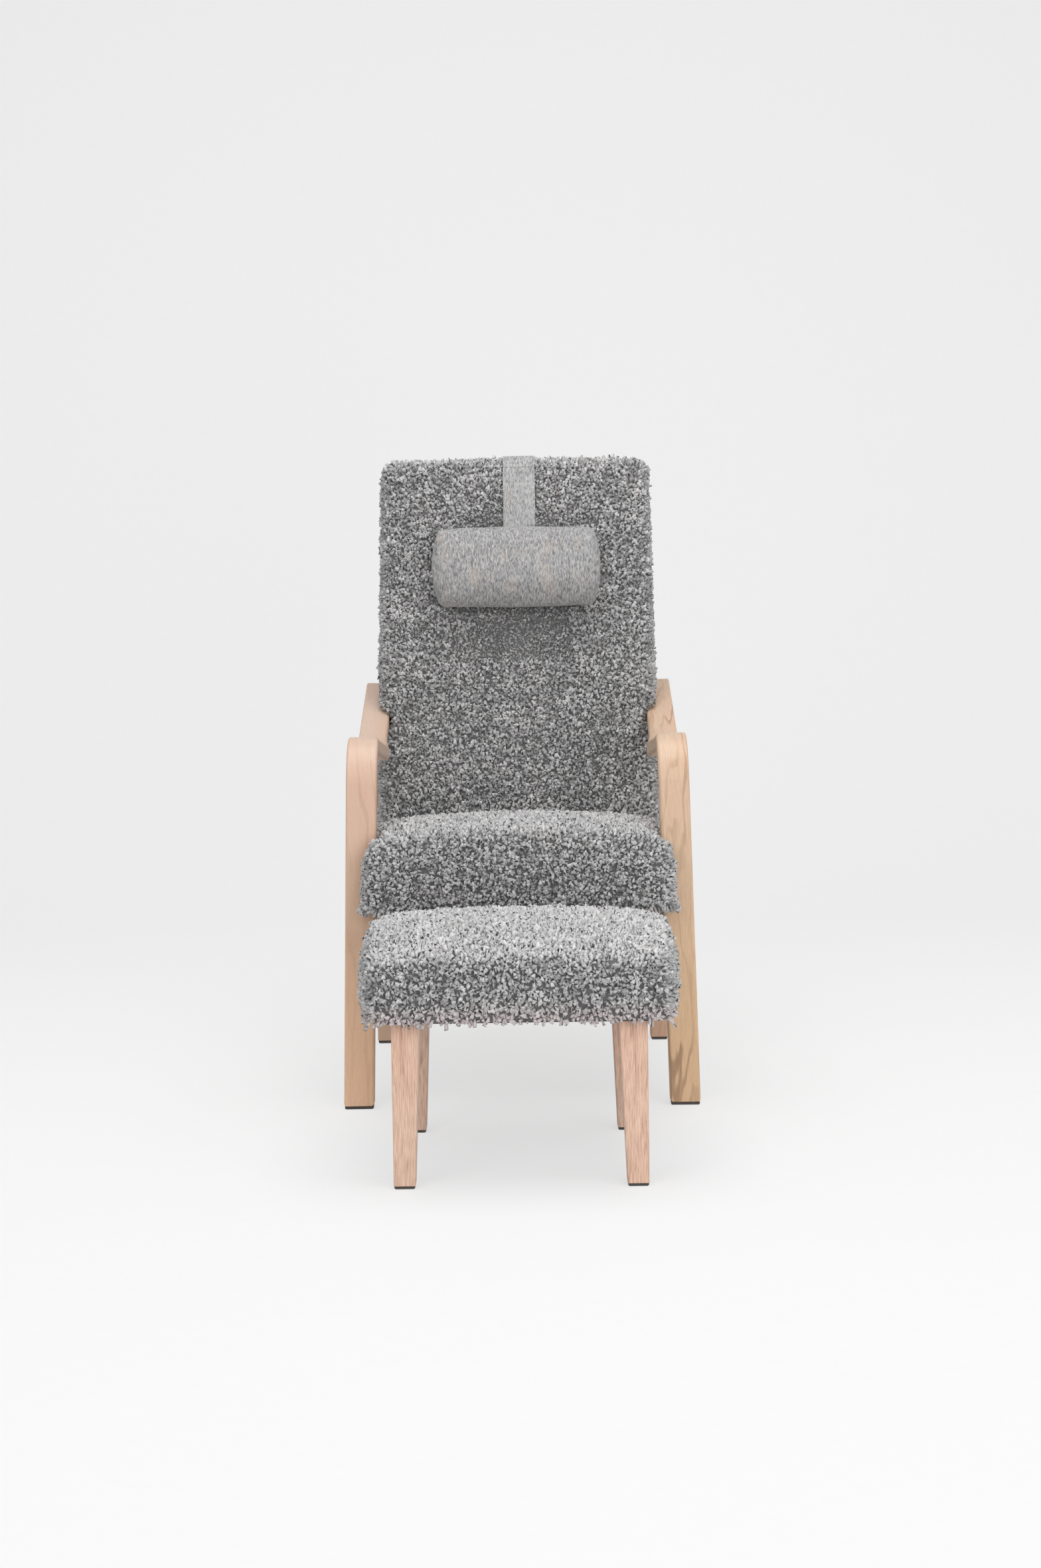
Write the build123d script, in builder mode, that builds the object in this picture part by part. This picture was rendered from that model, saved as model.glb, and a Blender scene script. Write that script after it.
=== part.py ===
"""High-backed lounge chair with a fleece-covered seat and back, bent-wood arms,
a neck pillow hung on a strap over the back, and a matching footstool.

Millimetres, +Z up, the chair facing -Y, the floor at z = 0.
"""
import os
from math import atan2, cos, radians, sin, sqrt, tan

from build123d import *

os.makedirs("parts", exist_ok=True)

# General fits and finishes
overrun = 20  # how far a cut runs past what it cuts
ease = 0.3  # air between a soft piece and its neighbour
bolt_fit = 0.1  # air round a bolt or dowel in its hole
edge_round = 4  # rounding of exposed wood edges

# Side frames: front leg and armrest bent from one board
front_half_width = 305
arm_board = 27
arm_width = 52
leg_splay = 1.5  # degrees, legs wider apart at the floor
toe_out = 1.2  # degrees, arms wider apart at the back
arm_corner_height = 645
arm_bend_radius = 75
arm_dip_back = 335
arm_dip_height = 598
arm_dip_radius = 400
arm_end_back = 670
arm_end_height = 708
lobe_start_back = 100
lobe_length = 320
lobe_bulge = 10
arm_inner_round = 6

# Rear legs
rear_leg_setback = 19  # outer face, inside the front leg's
rear_leg_width = 34
rear_foot_back = 573
rear_foot_depth = 38
rear_head_back = 582
rear_head_depth = 46

# Glides under the chair's legs
glide_height = 6
glide_inset = 1.5
glide_chamfer = 2
glide_pin_radius = 1.5
glide_pin_length = 18

# Rails
rail_setback = 50  # inner face, inside the front leg's outer face
rail_thickness = 26
rail_low = 255
rail_height = 60
cross_thickness = 30
cross_height = 52
front_cross_back = 70

# Dowels and bolts of the frame
rail_dowel_radius = 5
rail_dowel_length = 44
rail_dowel_gap = 32
arm_dowel_radius = 4
arm_dowel_length = 36
arm_dowel_gap = 22
bolt_radius = 3
bolt_length = 64
bolt_head_radius = 6.5
bolt_head_height = 4
barrel_radius = 5
barrel_length = 20
barrel_reach = 12  # bolt end past the middle of its barrel nut
seat_bolt_inset = 50  # from the rail's inner face
seat_bolt_grip = 22  # how far the bolt goes into the seat frame
back_bolt_outer = 170
back_bolt_inner = 70
back_bolt_height = 30
nut_height = 5

# Upholstery
pile = 12  # skin and curls of the fleece
cloth = 2  # woven cloth
dust_cloth = 1.2

# Seat
seat_tilt = 4  # degrees, lower at the back
seat_under = 342
seat_spread = 10  # how far the seat reaches over each side rail
seat_leg_gap = 17  # seat's side to the rail's inner face, between the front legs
nose_reach = 78
nose_gap = 2
nose_corner = 55
nose_round = 32
seat_depth = 480
seat_rise = 146
seat_crown = 12
seat_corner = 32
seat_hem = 8
seat_side_bulge = 1.5
seat_depth_shares = (0, 0.33, 0.65, 1.0)
seat_rise_shares = (0.90, 1.0, 0.95, 0.82)
seat_frame_thickness = 34
seat_member = 58
seat_window_front = 45
seat_window_back = 398

# Sinuous springs of the seat
spring_count = 5
spring_spacing = 80
spring_wire = 1.8  # radius
spring_run = 26
spring_runs = 17
clip_width = 18
clip_depth = 12
clip_base = 1.5

# Back
back_lean = 15  # degrees from upright
back_foot = 385  # from the front legs' face to the front of the back, at rail level
back_length = 926
back_depth = 88
back_arm_gap = 12  # back's side to the rail's inner face, between the armrests
back_spread = 13  # how far the back reaches past the rail's inner face
back_taper = 4
back_start = 150
back_crown = 10
back_corner = 28
back_rear_corner = 8
back_top_round = 30
back_side_bulge = 1.5
wing_gap = 1
back_frame_thickness = 24
back_stile = 48
back_foot_rail = 70
back_mid_rail = 430
back_rail_width = 55
band_width = 46
band_grip = 20  # how far a band lies on the frame at each end
band_thickness = 2
band_count_low = 4
band_count_high = 5
panel_foot = 60

# Neck pillow, its strap and the counterweight
pillow_up_back = 685
pillow_off_centre = 1
strap_off_centre = 8
pillow_seam = 146
pillow_cap = 15
pillow_half_height = 79
pillow_depth = 92
pillow_rear_share = 0.60
pillow_cheek_share = 0.45
pillow_front_share = 0.64
pillow_front_depth_share = 0.93
pillow_end_share = 0.965
cap_reach_shares = (0.0, 0.35, 0.7, 0.93, 1.0)
cap_size_shares = (1.0, 0.85, 0.62, 0.36, 0.2)
strap_width = 62
strap_thickness = 3
strap_gap = 0.6
pouch_width = 110
pouch_height = 90
pouch_depth = 12
pouch_round = 5
pouch_drop = 145  # strap length between the back's top round and the pouch

# Footstool
stool_gap = 115  # chair's front face to the footstool's fleece
stool_depth = 435
stool_half_width = 222
stool_belly = 14  # how much wider the footstool is at its middle
stool_under = 250
stool_edge_height = 340
stool_swell = 31
stool_crown = 9
stool_round = 24
stool_corner = 16
stool_hem = 8
stool_side_bulge = 3
stool_frame_height = 45
stool_member = 30
stool_block = 58
stool_leg_outer = 188
stool_leg_inset = 27  # from the fleece's front to the leg's front
stool_leg_top = 42
stool_leg_foot = 32
stool_glide_height = 5
stool_bolt_radius = 4
stool_bolt_length = 62
stool_bolt_in_leg = 32
stool_bands_across = 5
stool_bands_along = 4

# Widths that follow the side frames
rear_leg_outer = front_half_width - rear_leg_setback
rail_inner = front_half_width - rail_setback
seat_half_width = rail_inner + seat_spread
seat_neck_half = rail_inner - seat_leg_gap
seat_bolt_side = rail_inner - seat_bolt_inset
back_half_low = rail_inner - back_arm_gap
back_half_wing = rail_inner + back_spread
back_half_top = back_half_wing - back_taper

# Planes and directions worked out from the sizes
lean = radians(back_lean)
tilt = radians(seat_tilt)
back_up = Vector(0, sin(lean), cos(lean))
back_rear = Vector(0, cos(lean), -sin(lean))
back_origin = Vector(0, back_foot, rail_low)
side_x = Vector(tan(radians(toe_out)), 1, 0)
side_out = Vector(1, -tan(radians(toe_out)), tan(radians(leg_splay)))
right_side = Plane(origin=(front_half_width, 0, 0), x_dir=side_x, z_dir=side_out)
right_plan = Plane(origin=right_side.origin, x_dir=right_side.x_dir, z_dir=right_side.y_dir)
seat_plane = Plane(origin=(0, 0, seat_under), x_dir=(1, 0, 0), z_dir=(0, sin(tilt), cos(tilt)))
arm_slope = atan2(arm_end_height - arm_dip_height, arm_end_back - arm_dip_back)
arm_up = right_side.y_dir * cos(arm_slope) - right_side.x_dir * sin(arm_slope)
arm_dip = right_side.from_local_coords(Vector(arm_dip_back, arm_dip_height, 0))
arm_top_right = Plane(origin=arm_dip + arm_up * wing_gap, x_dir=right_side.z_dir, z_dir=arm_up)
arm_under_right = Plane(
    origin=arm_dip - arm_up * arm_board, x_dir=right_side.z_dir, z_dir=arm_up
)
frame_rear = back_depth - cloth
frame_front = frame_rear - back_frame_thickness
stool_middle = -stool_gap - stool_depth / 2


def upright(back):
    """Vertical plane across the chair, facing forward, a distance behind the front legs' face."""
    return Plane(origin=(0, back, 0), x_dir=(1, 0, 0), z_dir=(0, -1, 0))


def across_back(up):
    """Plane square to the back's length; its y points forward, out of the back."""
    return Plane(origin=back_origin + back_up * up, x_dir=(-1, 0, 0), z_dir=back_up)


def along_back(rear):
    """Plane parallel to the back's front face, a distance behind it; its y runs up the back."""
    return Plane(origin=back_origin + back_rear * rear, x_dir=(1, 0, 0), z_dir=-back_rear)


def beside_back(side, up=0):
    """Plane square to X; its x runs up the back and its y points forward."""
    return Plane(origin=back_origin + back_up * up + Vector(side, 0, 0), x_dir=back_up, z_dir=(1, 0, 0))


def padded_section(plane, half, low, high, crown, corner, hem, bulge):
    """Outline of an upholstered body: flat below, drawn sides, a crowned top."""
    top_cut = corner * (1 - sqrt(0.5))
    low_cut = hem * (1 - sqrt(0.5))
    middle = (low + hem + high - corner) / 2
    with BuildSketch(plane) as outline:
        with BuildLine():
            Line((hem - half, low), (half - hem, low))
            ThreePointArc((half - hem, low), (half - low_cut, low + low_cut), (half, low + hem))
            ThreePointArc((half, low + hem), (half + bulge, middle), (half, high - corner))
            ThreePointArc((half, high - corner), (half - top_cut, high - top_cut), (half - corner, high))
            ThreePointArc((half - corner, high), (0, high + crown), (corner - half, high))
            ThreePointArc((corner - half, high), (top_cut - half, high - top_cut), (-half, high - corner))
            ThreePointArc((-half, high - corner), (-half - bulge, middle), (-half, low + hem))
            ThreePointArc((-half, low + hem), (low_cut - half, low + low_cut), (hem - half, low))
        make_face()
    return outline.sketch


def round_steps(radius, steps=3):
    """Places on a quarter round: how far in from the end, and how much smaller there."""
    turns = [radians(90 * step / steps) for step in range(steps + 1)]
    return [(radius * (1 - cos(turn)), radius * (1 - sin(turn))) for turn in turns]


def mirrored(piece):
    """The same piece on the other side of the chair."""
    with BuildPart() as twin:
        mirror(piece.part, about=Plane.YZ)
    return twin


def seat_low(back):
    return seat_under - back * tan(tilt)


def seat_form(inset):
    """Outer form of the seat, or its form under the fleece where inset is more than 0."""
    drop = overrun if inset > 0 else 0
    half = seat_half_width - inset
    top = seat_rise * seat_rise_shares[0] - inset
    corner = seat_corner - inset
    shoulder = nose_corner - inset
    back_room = back_form(-inset - ease)
    with BuildPart() as nose:
        faces = []
        for advance, setback in round_steps(nose_round - inset / 2):
            back = inset - nose_reach + advance
            low = seat_low(back) - drop + (0 if inset > 0 else setback / 2)
            high = seat_low(back) + top - setback
            faces.append(
                padded_section(
                    upright(back), half - setback, low, high, seat_crown, shoulder, seat_hem, seat_side_bulge
                )
            )
        loft(sections=faces)
        low = seat_low(0) - drop
        high = seat_low(0) + top
        end = padded_section(upright(0), half, low, high, seat_crown, shoulder, seat_hem, seat_side_bulge)
        loft(sections=[faces[-1], end])
    with BuildPart() as leg_room:
        with BuildSketch():
            with Locations([(side * (seat_neck_half - inset + overrun), arm_board / 2) for side in (-1, 1)]):
                Rectangle(2 * overrun, arm_board + 2 * nose_gap + 2 * inset)
        extrude(amount=seat_under + 2 * seat_rise)
    with BuildPart() as rail_room:
        with BuildSketch():
            with Locations([(side * (rail_inner - ease + rail_thickness), 0) for side in (-1, 1)]):
                Rectangle(2 * rail_thickness, 2 * rear_foot_back)
        extrude(amount=rail_low + rail_height + ease)
    with BuildPart() as body:
        faces = []
        for depth_share, rise_share in zip(seat_depth_shares, seat_rise_shares):
            back = seat_depth * depth_share
            low = seat_low(back) - drop
            high = seat_low(back) + seat_rise * rise_share - inset
            edge = corner if faces else shoulder
            faces.append(
                padded_section(upright(back), half, low, high, seat_crown, edge, seat_hem, seat_side_bulge)
            )
        loft(sections=faces)
        add(nose.part)
        add(leg_room.part, mode=Mode.SUBTRACT)
        add(rail_room.part, mode=Mode.SUBTRACT)
        add(back_room, mode=Mode.SUBTRACT)
        split(bisect_by=along_back(frame_front - ease - inset), keep=Keep.TOP)
    return body.part


def back_section(up, half, rear, inset, setback):
    """Outline of the back at a height, smaller by a setback where its edge rounds over."""
    return padded_section(
        across_back(up),
        half - inset - setback,
        rear + setback,
        -inset - setback,
        back_crown,
        back_corner - inset - setback / 2,
        back_rear_corner,
        back_side_bulge,
    )


def back_form(inset):
    """Outer form of the back, its form under the fleece, or the room it needs where inset is negative."""
    start = back_start + inset
    rear = -back_depth + min(inset, 0)
    round_start = back_length - back_top_round - inset
    with BuildPart() as notch:
        with BuildSketch(Plane.YZ.offset(back_half_low - inset)):
            with Locations((arm_dip_back + back_depth, arm_dip_height)):
                Rectangle(arm_end_back, arm_end_height)
        extrude(amount=back_half_wing)
        split(bisect_by=arm_under_right.offset(-wing_gap - inset), keep=Keep.TOP)
        split(bisect_by=arm_top_right.offset(inset), keep=Keep.BOTTOM)
    other_notch = mirrored(notch)
    with BuildPart() as body:
        wide_foot = back_section(start, back_half_wing, rear, inset, 0)
        shoulder = back_section(round_start, back_half_top, rear, inset, 0)
        loft(sections=[wide_foot, shoulder])
        edge = [
            back_section(round_start + back_top_round - advance, back_half_top, rear, inset, setback)
            for advance, setback in reversed(round_steps(back_top_round))
        ]
        loft(sections=edge)
        add(notch.part, mode=Mode.SUBTRACT)
        add(other_notch.part, mode=Mode.SUBTRACT)
        if inset > 0:
            loft(sections=[back_section(up, back_half_low, rear, inset, 0) for up in (0, start)])
    return body.part


def stool_section(place, setback, inset):
    """Outline of the footstool's pad at a distance in front of or behind its middle."""
    fullness = 1 - (2 * place / stool_depth) ** 2
    swell = stool_swell * fullness
    return padded_section(
        upright(stool_middle + place),
        stool_half_width + stool_belly * fullness - inset - setback / 2,
        stool_under + (-overrun if inset > 0 else setback / 4),
        stool_edge_height + swell - inset - setback,
        stool_crown,
        stool_corner - inset,
        stool_hem,
        stool_side_bulge,
    )


def stool_form(inset):
    """Outer form of the footstool's pad, or its form under the fleece."""
    half_depth = stool_depth / 2 - inset
    ends = [
        [
            stool_section(way * (half_depth - advance), setback, inset)
            for advance, setback in reversed(round_steps(stool_round))
        ]
        for way in (-1, 1)
    ]
    with BuildPart() as pad:
        loft(sections=[ends[0][0], stool_section(0, 0, inset), ends[1][0]])
        loft(sections=ends[0])
        loft(sections=ends[1])
    return pad.part


def pillow_section(side, share, inset):
    """D-shaped outline of the pillow, flat where it lies on the back."""
    floor = back_crown + ease
    centre = floor + pillow_depth / 2
    half = pillow_half_height * share - inset
    depth = pillow_depth * share - 2 * inset
    rear = centre - depth / 2
    with BuildSketch(beside_back(side, pillow_up_back)) as outline:
        with BuildLine():
            Line((-half * pillow_rear_share, rear), (half * pillow_rear_share, rear))
            ThreePointArc(
                (half * pillow_rear_share, rear),
                (half, rear + depth * pillow_cheek_share),
                (half * pillow_front_share, rear + depth * pillow_front_depth_share),
            )
            ThreePointArc(
                (half * pillow_front_share, rear + depth * pillow_front_depth_share),
                (0, rear + depth),
                (-half * pillow_front_share, rear + depth * pillow_front_depth_share),
            )
            ThreePointArc(
                (-half * pillow_front_share, rear + depth * pillow_front_depth_share),
                (-half, rear + depth * pillow_cheek_share),
                (-half * pillow_rear_share, rear),
            )
        make_face()
    return outline.sketch


def pillow_wrap_form(inset):
    with BuildPart() as wrap:
        places = (-pillow_seam, 0, pillow_seam)
        shares = (pillow_end_share, 1, pillow_end_share)
        loft(
            sections=[
                pillow_section(pillow_off_centre + place, share, inset)
                for place, share in zip(places, shares)
            ]
        )
    return wrap.part


def pillow_cap_form(side, inset):
    """Domed end of the pillow beyond its seam, on the side given as 1 or -1."""
    with BuildPart() as cap:
        faces = []
        for reach_share, size_share in zip(cap_reach_shares, cap_size_shares):
            place = pillow_seam + (pillow_cap - inset) * reach_share
            faces.append(
                pillow_section(pillow_off_centre + side * place, pillow_end_share * size_share, inset)
            )
        loft(sections=faces)
    return cap.part


def bolt(length, radius, head_radius, head_height):
    """Bolt along +Z, the underside of its head at z = 0 and its shank below."""
    with BuildPart() as shape:
        with BuildSketch():
            Circle(head_radius)
        extrude(amount=head_height)
        with BuildSketch():
            Circle(radius)
        extrude(amount=-length)
        with BuildSketch(Plane.XY.offset(head_height)):
            RegularPolygon(radius, 6)
        extrude(amount=-head_height / 2, mode=Mode.SUBTRACT)
    return shape.part


# Places of the dowels and bolts, used by the holes and by the fasteners alike
rail_middle = rail_low + rail_height / 2
rail_centre = rail_inner + rail_thickness / 2
dowel_heights = (rail_middle - rail_dowel_gap / 2, rail_middle + rail_dowel_gap / 2)
front_joint_back = arm_board
rear_joint_back = rear_foot_back + (rear_head_back - rear_foot_back) * rail_middle / arm_dip_height
rail_dowel_places = [
    Plane(origin=(side * rail_centre, back, height), x_dir=(1, 0, 0), z_dir=(0, 1, 0))
    for side in (-1, 1)
    for back in (front_joint_back, rear_joint_back)
    for height in dowel_heights
]
arm_joint = rear_head_back + rear_head_depth / 2
arm_joint_right = arm_under_right.from_local_coords(
    Vector(
        0,
        (arm_joint - arm_dip_back) / cos(arm_slope),
        0,
    )
)
arm_joint_side = rear_leg_outer - rear_leg_width / 2
arm_dowel_centres = [
    Vector(arm_joint_side, arm_joint_right.Y + offset_back, arm_joint_right.Z + offset_back * tan(arm_slope))
    for offset_back in (-arm_dowel_gap / 2, arm_dowel_gap / 2)
]
arm_dowel_places = [
    Plane(
        origin=(side * centre.X, centre.Y, centre.Z),
        x_dir=(0, 1, 0),
        z_dir=(side * arm_up.X, arm_up.Y, arm_up.Z),
    )
    for side in (-1, 1)
    for centre in arm_dowel_centres
]
front_cross_top = seat_low(front_cross_back + cross_thickness / 2) - dust_cloth
front_cross_middle = front_cross_top - cross_height / 2
rear_cross_centre = back_origin + back_up * back_bolt_height + back_rear * (frame_front - cross_thickness / 2)
cross_joints = [
    (front_cross_back + cross_thickness / 2, front_cross_middle),
    (rear_cross_centre.Y, rear_cross_centre.Z),
]
rail_bolt_places = [
    Plane(origin=(side * (rail_inner + rail_thickness), back, height), x_dir=(0, 1, 0), z_dir=(side, 0, 0))
    for side in (-1, 1)
    for back, height in cross_joints
]
barrel_side = rail_inner + rail_thickness - bolt_length + barrel_reach
barrel_places = [
    Plane(origin=(side * barrel_side, back, height), x_dir=(1, 0, 0), z_dir=(0, 0, 1))
    for side in (-1, 1)
    for back, height in cross_joints
]
seat_bolt_backs = (
    front_cross_back + cross_thickness / 2,
    rear_cross_centre.Y + (rail_low + cross_height - rear_cross_centre.Z) * tan(lean) - cross_thickness / 4,
)


def seat_bolt_plane(side, back, below):
    """Plane square to the seat's underside, a distance below it, facing down."""
    point = seat_plane.from_local_coords(Vector(side * seat_bolt_side, back / cos(tilt), -below))
    return Plane(origin=point, x_dir=(1, 0, 0), z_dir=-seat_plane.z_dir)


seat_bolt_places = [
    seat_bolt_plane(side, back, cross_height - dust_cloth)
    for side in (-1, 1)
    for back in seat_bolt_backs
]
back_bolt_places = [
    Plane(
        origin=back_origin + back_up * back_bolt_height + back_rear * frame_rear + Vector(side, 0, 0),
        x_dir=(1, 0, 0),
        z_dir=back_rear,
    )
    for side in (-back_bolt_outer, -back_bolt_inner, back_bolt_inner, back_bolt_outer)
]
back_bolt_length = back_frame_thickness + cross_thickness + nut_height
front_glide_centre = right_side.from_local_coords(Vector(arm_board / 2, glide_height, -arm_width / 2))
rear_glide_centre = Vector(rear_leg_outer - rear_leg_width / 2, rear_foot_back + rear_foot_depth / 2, 0)


def glide_plane(centre, side, height):
    return Plane(origin=(side * centre.X, centre.Y, height), x_dir=(1, 0, 0), z_dir=(0, 0, 1))


def drill(places, radius, length, both=False):
    """Round holes along each plane's z, cut from the part being built."""
    for place in places:
        with BuildSketch(place) as hole:
            Circle(radius)
        extrude(hole.sketch, amount=length, both=both, mode=Mode.SUBTRACT)


# Right side frame: front leg and armrest bent from one board, wider where the hand rests
with BuildPart() as arm_right:
    with BuildSketch(right_side):
        with BuildLine():
            board_top = FilletPolyline(
                (0, 0),
                (0, arm_corner_height),
                (arm_dip_back, arm_dip_height),
                (arm_end_back, arm_end_height),
                radius=[arm_bend_radius, arm_dip_radius],
            )
            offset(board_top, amount=arm_board, side=Side.RIGHT)
        make_face()
    extrude(amount=-arm_width - lobe_bulge)
    with BuildSketch(right_plan):
        with BuildLine():
            lobe_end_back = lobe_start_back + lobe_length
            Polyline(
                (lobe_end_back, arm_width),
                (arm_end_back + overrun, arm_width),
                (arm_end_back + overrun, 0),
                (-overrun, 0),
                (-overrun, arm_width),
                (lobe_start_back, arm_width),
            )
            Spline(
                (lobe_start_back, arm_width),
                (lobe_start_back + lobe_length / 2, arm_width + lobe_bulge),
                (lobe_end_back, arm_width),
                tangents=((1, 0), (1, 0)),
            )
        make_face()
    extrude(amount=arm_end_height + arm_board, mode=Mode.INTERSECT)
    split(bisect_by=Plane.XY.offset(glide_height), keep=Keep.TOP)
    fillet(arm_right.faces().sort_by(Axis.X)[-1].edges(), edge_round)
    middles = [(edge, right_side.to_local_coords(edge @ 0.5)) for edge in arm_right.edges()]
    inner_edges = [edge for edge, middle in middles if middle.Z < ease - arm_width]
    upper_edges = [edge for edge in inner_edges if right_side.to_local_coords(edge @ 0.5).Y > glide_height + ease]
    fillet(upper_edges, arm_inner_round)
    drill(rail_dowel_places[4:6], rail_dowel_radius + bolt_fit, rail_dowel_length / 2, both=True)
    drill(arm_dowel_places[2:], arm_dowel_radius + bolt_fit, arm_dowel_length / 2, both=True)
    drill(
        [glide_plane(front_glide_centre, 1, glide_height)],
        glide_pin_radius + bolt_fit,
        glide_pin_length,
    )
arm_right.part.label = "arm_right"

arm_left = mirrored(arm_right)
arm_left.part.label = "arm_left"

# Right rear leg, cut to the slope of the armrest that it carries
with BuildPart() as rear_leg_right:
    with BuildSketch(Plane.YZ.offset(rear_leg_outer)):
        with BuildLine():
            Polyline(
                (rear_foot_back, glide_height),
                (rear_foot_back + rear_foot_depth, glide_height),
                (rear_head_back + rear_head_depth, arm_end_height),
                (rear_head_back, arm_end_height),
                close=True,
            )
        make_face()
    extrude(amount=-rear_leg_width)
    fillet(rear_leg_right.edges().filter_by(Axis.X, reverse=True).filter_by(Axis.Y, reverse=True), edge_round)
    split(bisect_by=arm_under_right, keep=Keep.BOTTOM)
    drill(rail_dowel_places[6:], rail_dowel_radius + bolt_fit, rail_dowel_length / 2, both=True)
    drill(arm_dowel_places[2:], arm_dowel_radius + bolt_fit, arm_dowel_length / 2, both=True)
    drill(
        [glide_plane(rear_glide_centre, 1, glide_height)],
        glide_pin_radius + bolt_fit,
        glide_pin_length,
    )
rear_leg_right.part.label = "rear_leg_right"

rear_leg_left = mirrored(rear_leg_right)
rear_leg_left.part.label = "rear_leg_left"

# Right side rail, butted between the legs
with BuildPart() as side_rail_right:
    with BuildSketch(upright(rear_foot_back + rear_foot_depth / 2)):
        with Locations((rail_centre, rail_middle)):
            Rectangle(rail_thickness, rail_height)
    extrude(amount=rear_foot_back + rear_foot_depth / 2 - arm_board / 2)
    add(arm_right.part, mode=Mode.SUBTRACT)
    add(rear_leg_right.part, mode=Mode.SUBTRACT)
    drill(rail_dowel_places[4:], rail_dowel_radius + bolt_fit, rail_dowel_length / 2, both=True)
    drill(rail_bolt_places[2:], bolt_radius + bolt_fit, -bolt_length)
side_rail_right.part.label = "side_rail_right"

side_rail_left = mirrored(side_rail_right)
side_rail_left.part.label = "side_rail_left"

# Dowels between rails and legs, and between armrests and rear legs
with BuildPart() as rail_dowels:
    for place in rail_dowel_places:
        with BuildSketch(place.offset(-rail_dowel_length / 2 + bolt_fit)):
            Circle(rail_dowel_radius)
        extrude(amount=rail_dowel_length - 2 * bolt_fit)
rail_dowels.part.label = "rail_dowels"

with BuildPart() as arm_dowels:
    for place in arm_dowel_places:
        with BuildSketch(place.offset(-arm_dowel_length / 2 + bolt_fit)):
            Circle(arm_dowel_radius)
        extrude(amount=arm_dowel_length - 2 * bolt_fit)
arm_dowels.part.label = "arm_dowels"

# Cross rails between the side rails, their tops cut to the seat's tilt
with BuildPart() as front_cross_rail:
    with BuildSketch(upright(front_cross_back + cross_thickness)):
        with Locations((0, front_cross_top - (cross_height - overrun) / 2)):
            Rectangle(2 * rail_inner, cross_height + overrun)
    extrude(amount=cross_thickness)
    split(bisect_by=seat_plane.offset(-dust_cloth), keep=Keep.BOTTOM)
    drill(rail_bolt_places, bolt_radius + bolt_fit, -bolt_length)
    drill(barrel_places, barrel_radius + bolt_fit, (barrel_length + bolt_fit) / 2, both=True)
    drill(seat_bolt_places, bolt_radius + bolt_fit, -cross_height - overrun)
    drill(seat_bolt_places, bolt_head_radius + overrun / 2, overrun)
front_cross_rail.part.label = "front_cross_rail"

with BuildPart() as rear_cross_rail:
    with BuildSketch(along_back(frame_front)):
        with Locations((0, (cross_height + overrun) / 2)):
            Rectangle(2 * rail_inner, cross_height + overrun)
    extrude(amount=cross_thickness)
    split(bisect_by=seat_plane.offset(-dust_cloth), keep=Keep.BOTTOM)
    drill(rail_bolt_places, bolt_radius + bolt_fit, -bolt_length)
    drill(barrel_places, barrel_radius + bolt_fit, (barrel_length + bolt_fit) / 2, both=True)
    drill(seat_bolt_places, bolt_radius + bolt_fit, -cross_height - overrun)
    drill(seat_bolt_places, bolt_head_radius + overrun / 2, overrun)
    drill(back_bolt_places, bolt_radius + bolt_fit, -back_bolt_length - overrun)
rear_cross_rail.part.label = "rear_cross_rail"

# Bolts through the side rails, and the barrel nuts that they pull on
rail_bolt = bolt(bolt_length, bolt_radius, bolt_head_radius, bolt_head_height)
with BuildPart() as rail_bolts:
    for place in rail_bolt_places:
        add(place.location * rail_bolt)
rail_bolts.part.label = "rail_bolts"

with BuildPart() as barrel_nuts:
    for place in barrel_places:
        with BuildSketch(place.offset(-barrel_length / 2)):
            Circle(barrel_radius)
        extrude(amount=barrel_length)
    drill(rail_bolt_places, bolt_radius + bolt_fit, -bolt_length - overrun)
barrel_nuts.part.label = "barrel_nuts"

# Seat frame: a T-shaped ring that carries the springs and the front edge
seat_under_fleece = seat_form(pile + ease)
with BuildPart() as seat_frame:
    with BuildSketch(seat_plane):
        with Locations((0, (seat_depth - nose_reach) / 2)):
            Rectangle(2 * seat_half_width, seat_depth + nose_reach)
        with Locations((0, (seat_window_front + seat_window_back) / 2)):
            Rectangle(
                2 * (seat_half_width - pile - seat_member),
                seat_window_back - seat_window_front,
                mode=Mode.SUBTRACT,
            )
    extrude(amount=seat_frame_thickness)
    add(seat_under_fleece, mode=Mode.INTERSECT)
    drill(seat_bolt_places, bolt_radius + bolt_fit, -cross_height + dust_cloth - seat_bolt_grip)
seat_frame.part.label = "seat_frame"

seat_bolt = bolt(
    cross_height - dust_cloth + seat_bolt_grip - bolt_fit, bolt_radius, bolt_head_radius, bolt_head_height
)
with BuildPart() as seat_bolts:
    for place in seat_bolt_places:
        add(place.location * seat_bolt)
seat_bolts.part.label = "seat_bolts"

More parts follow.
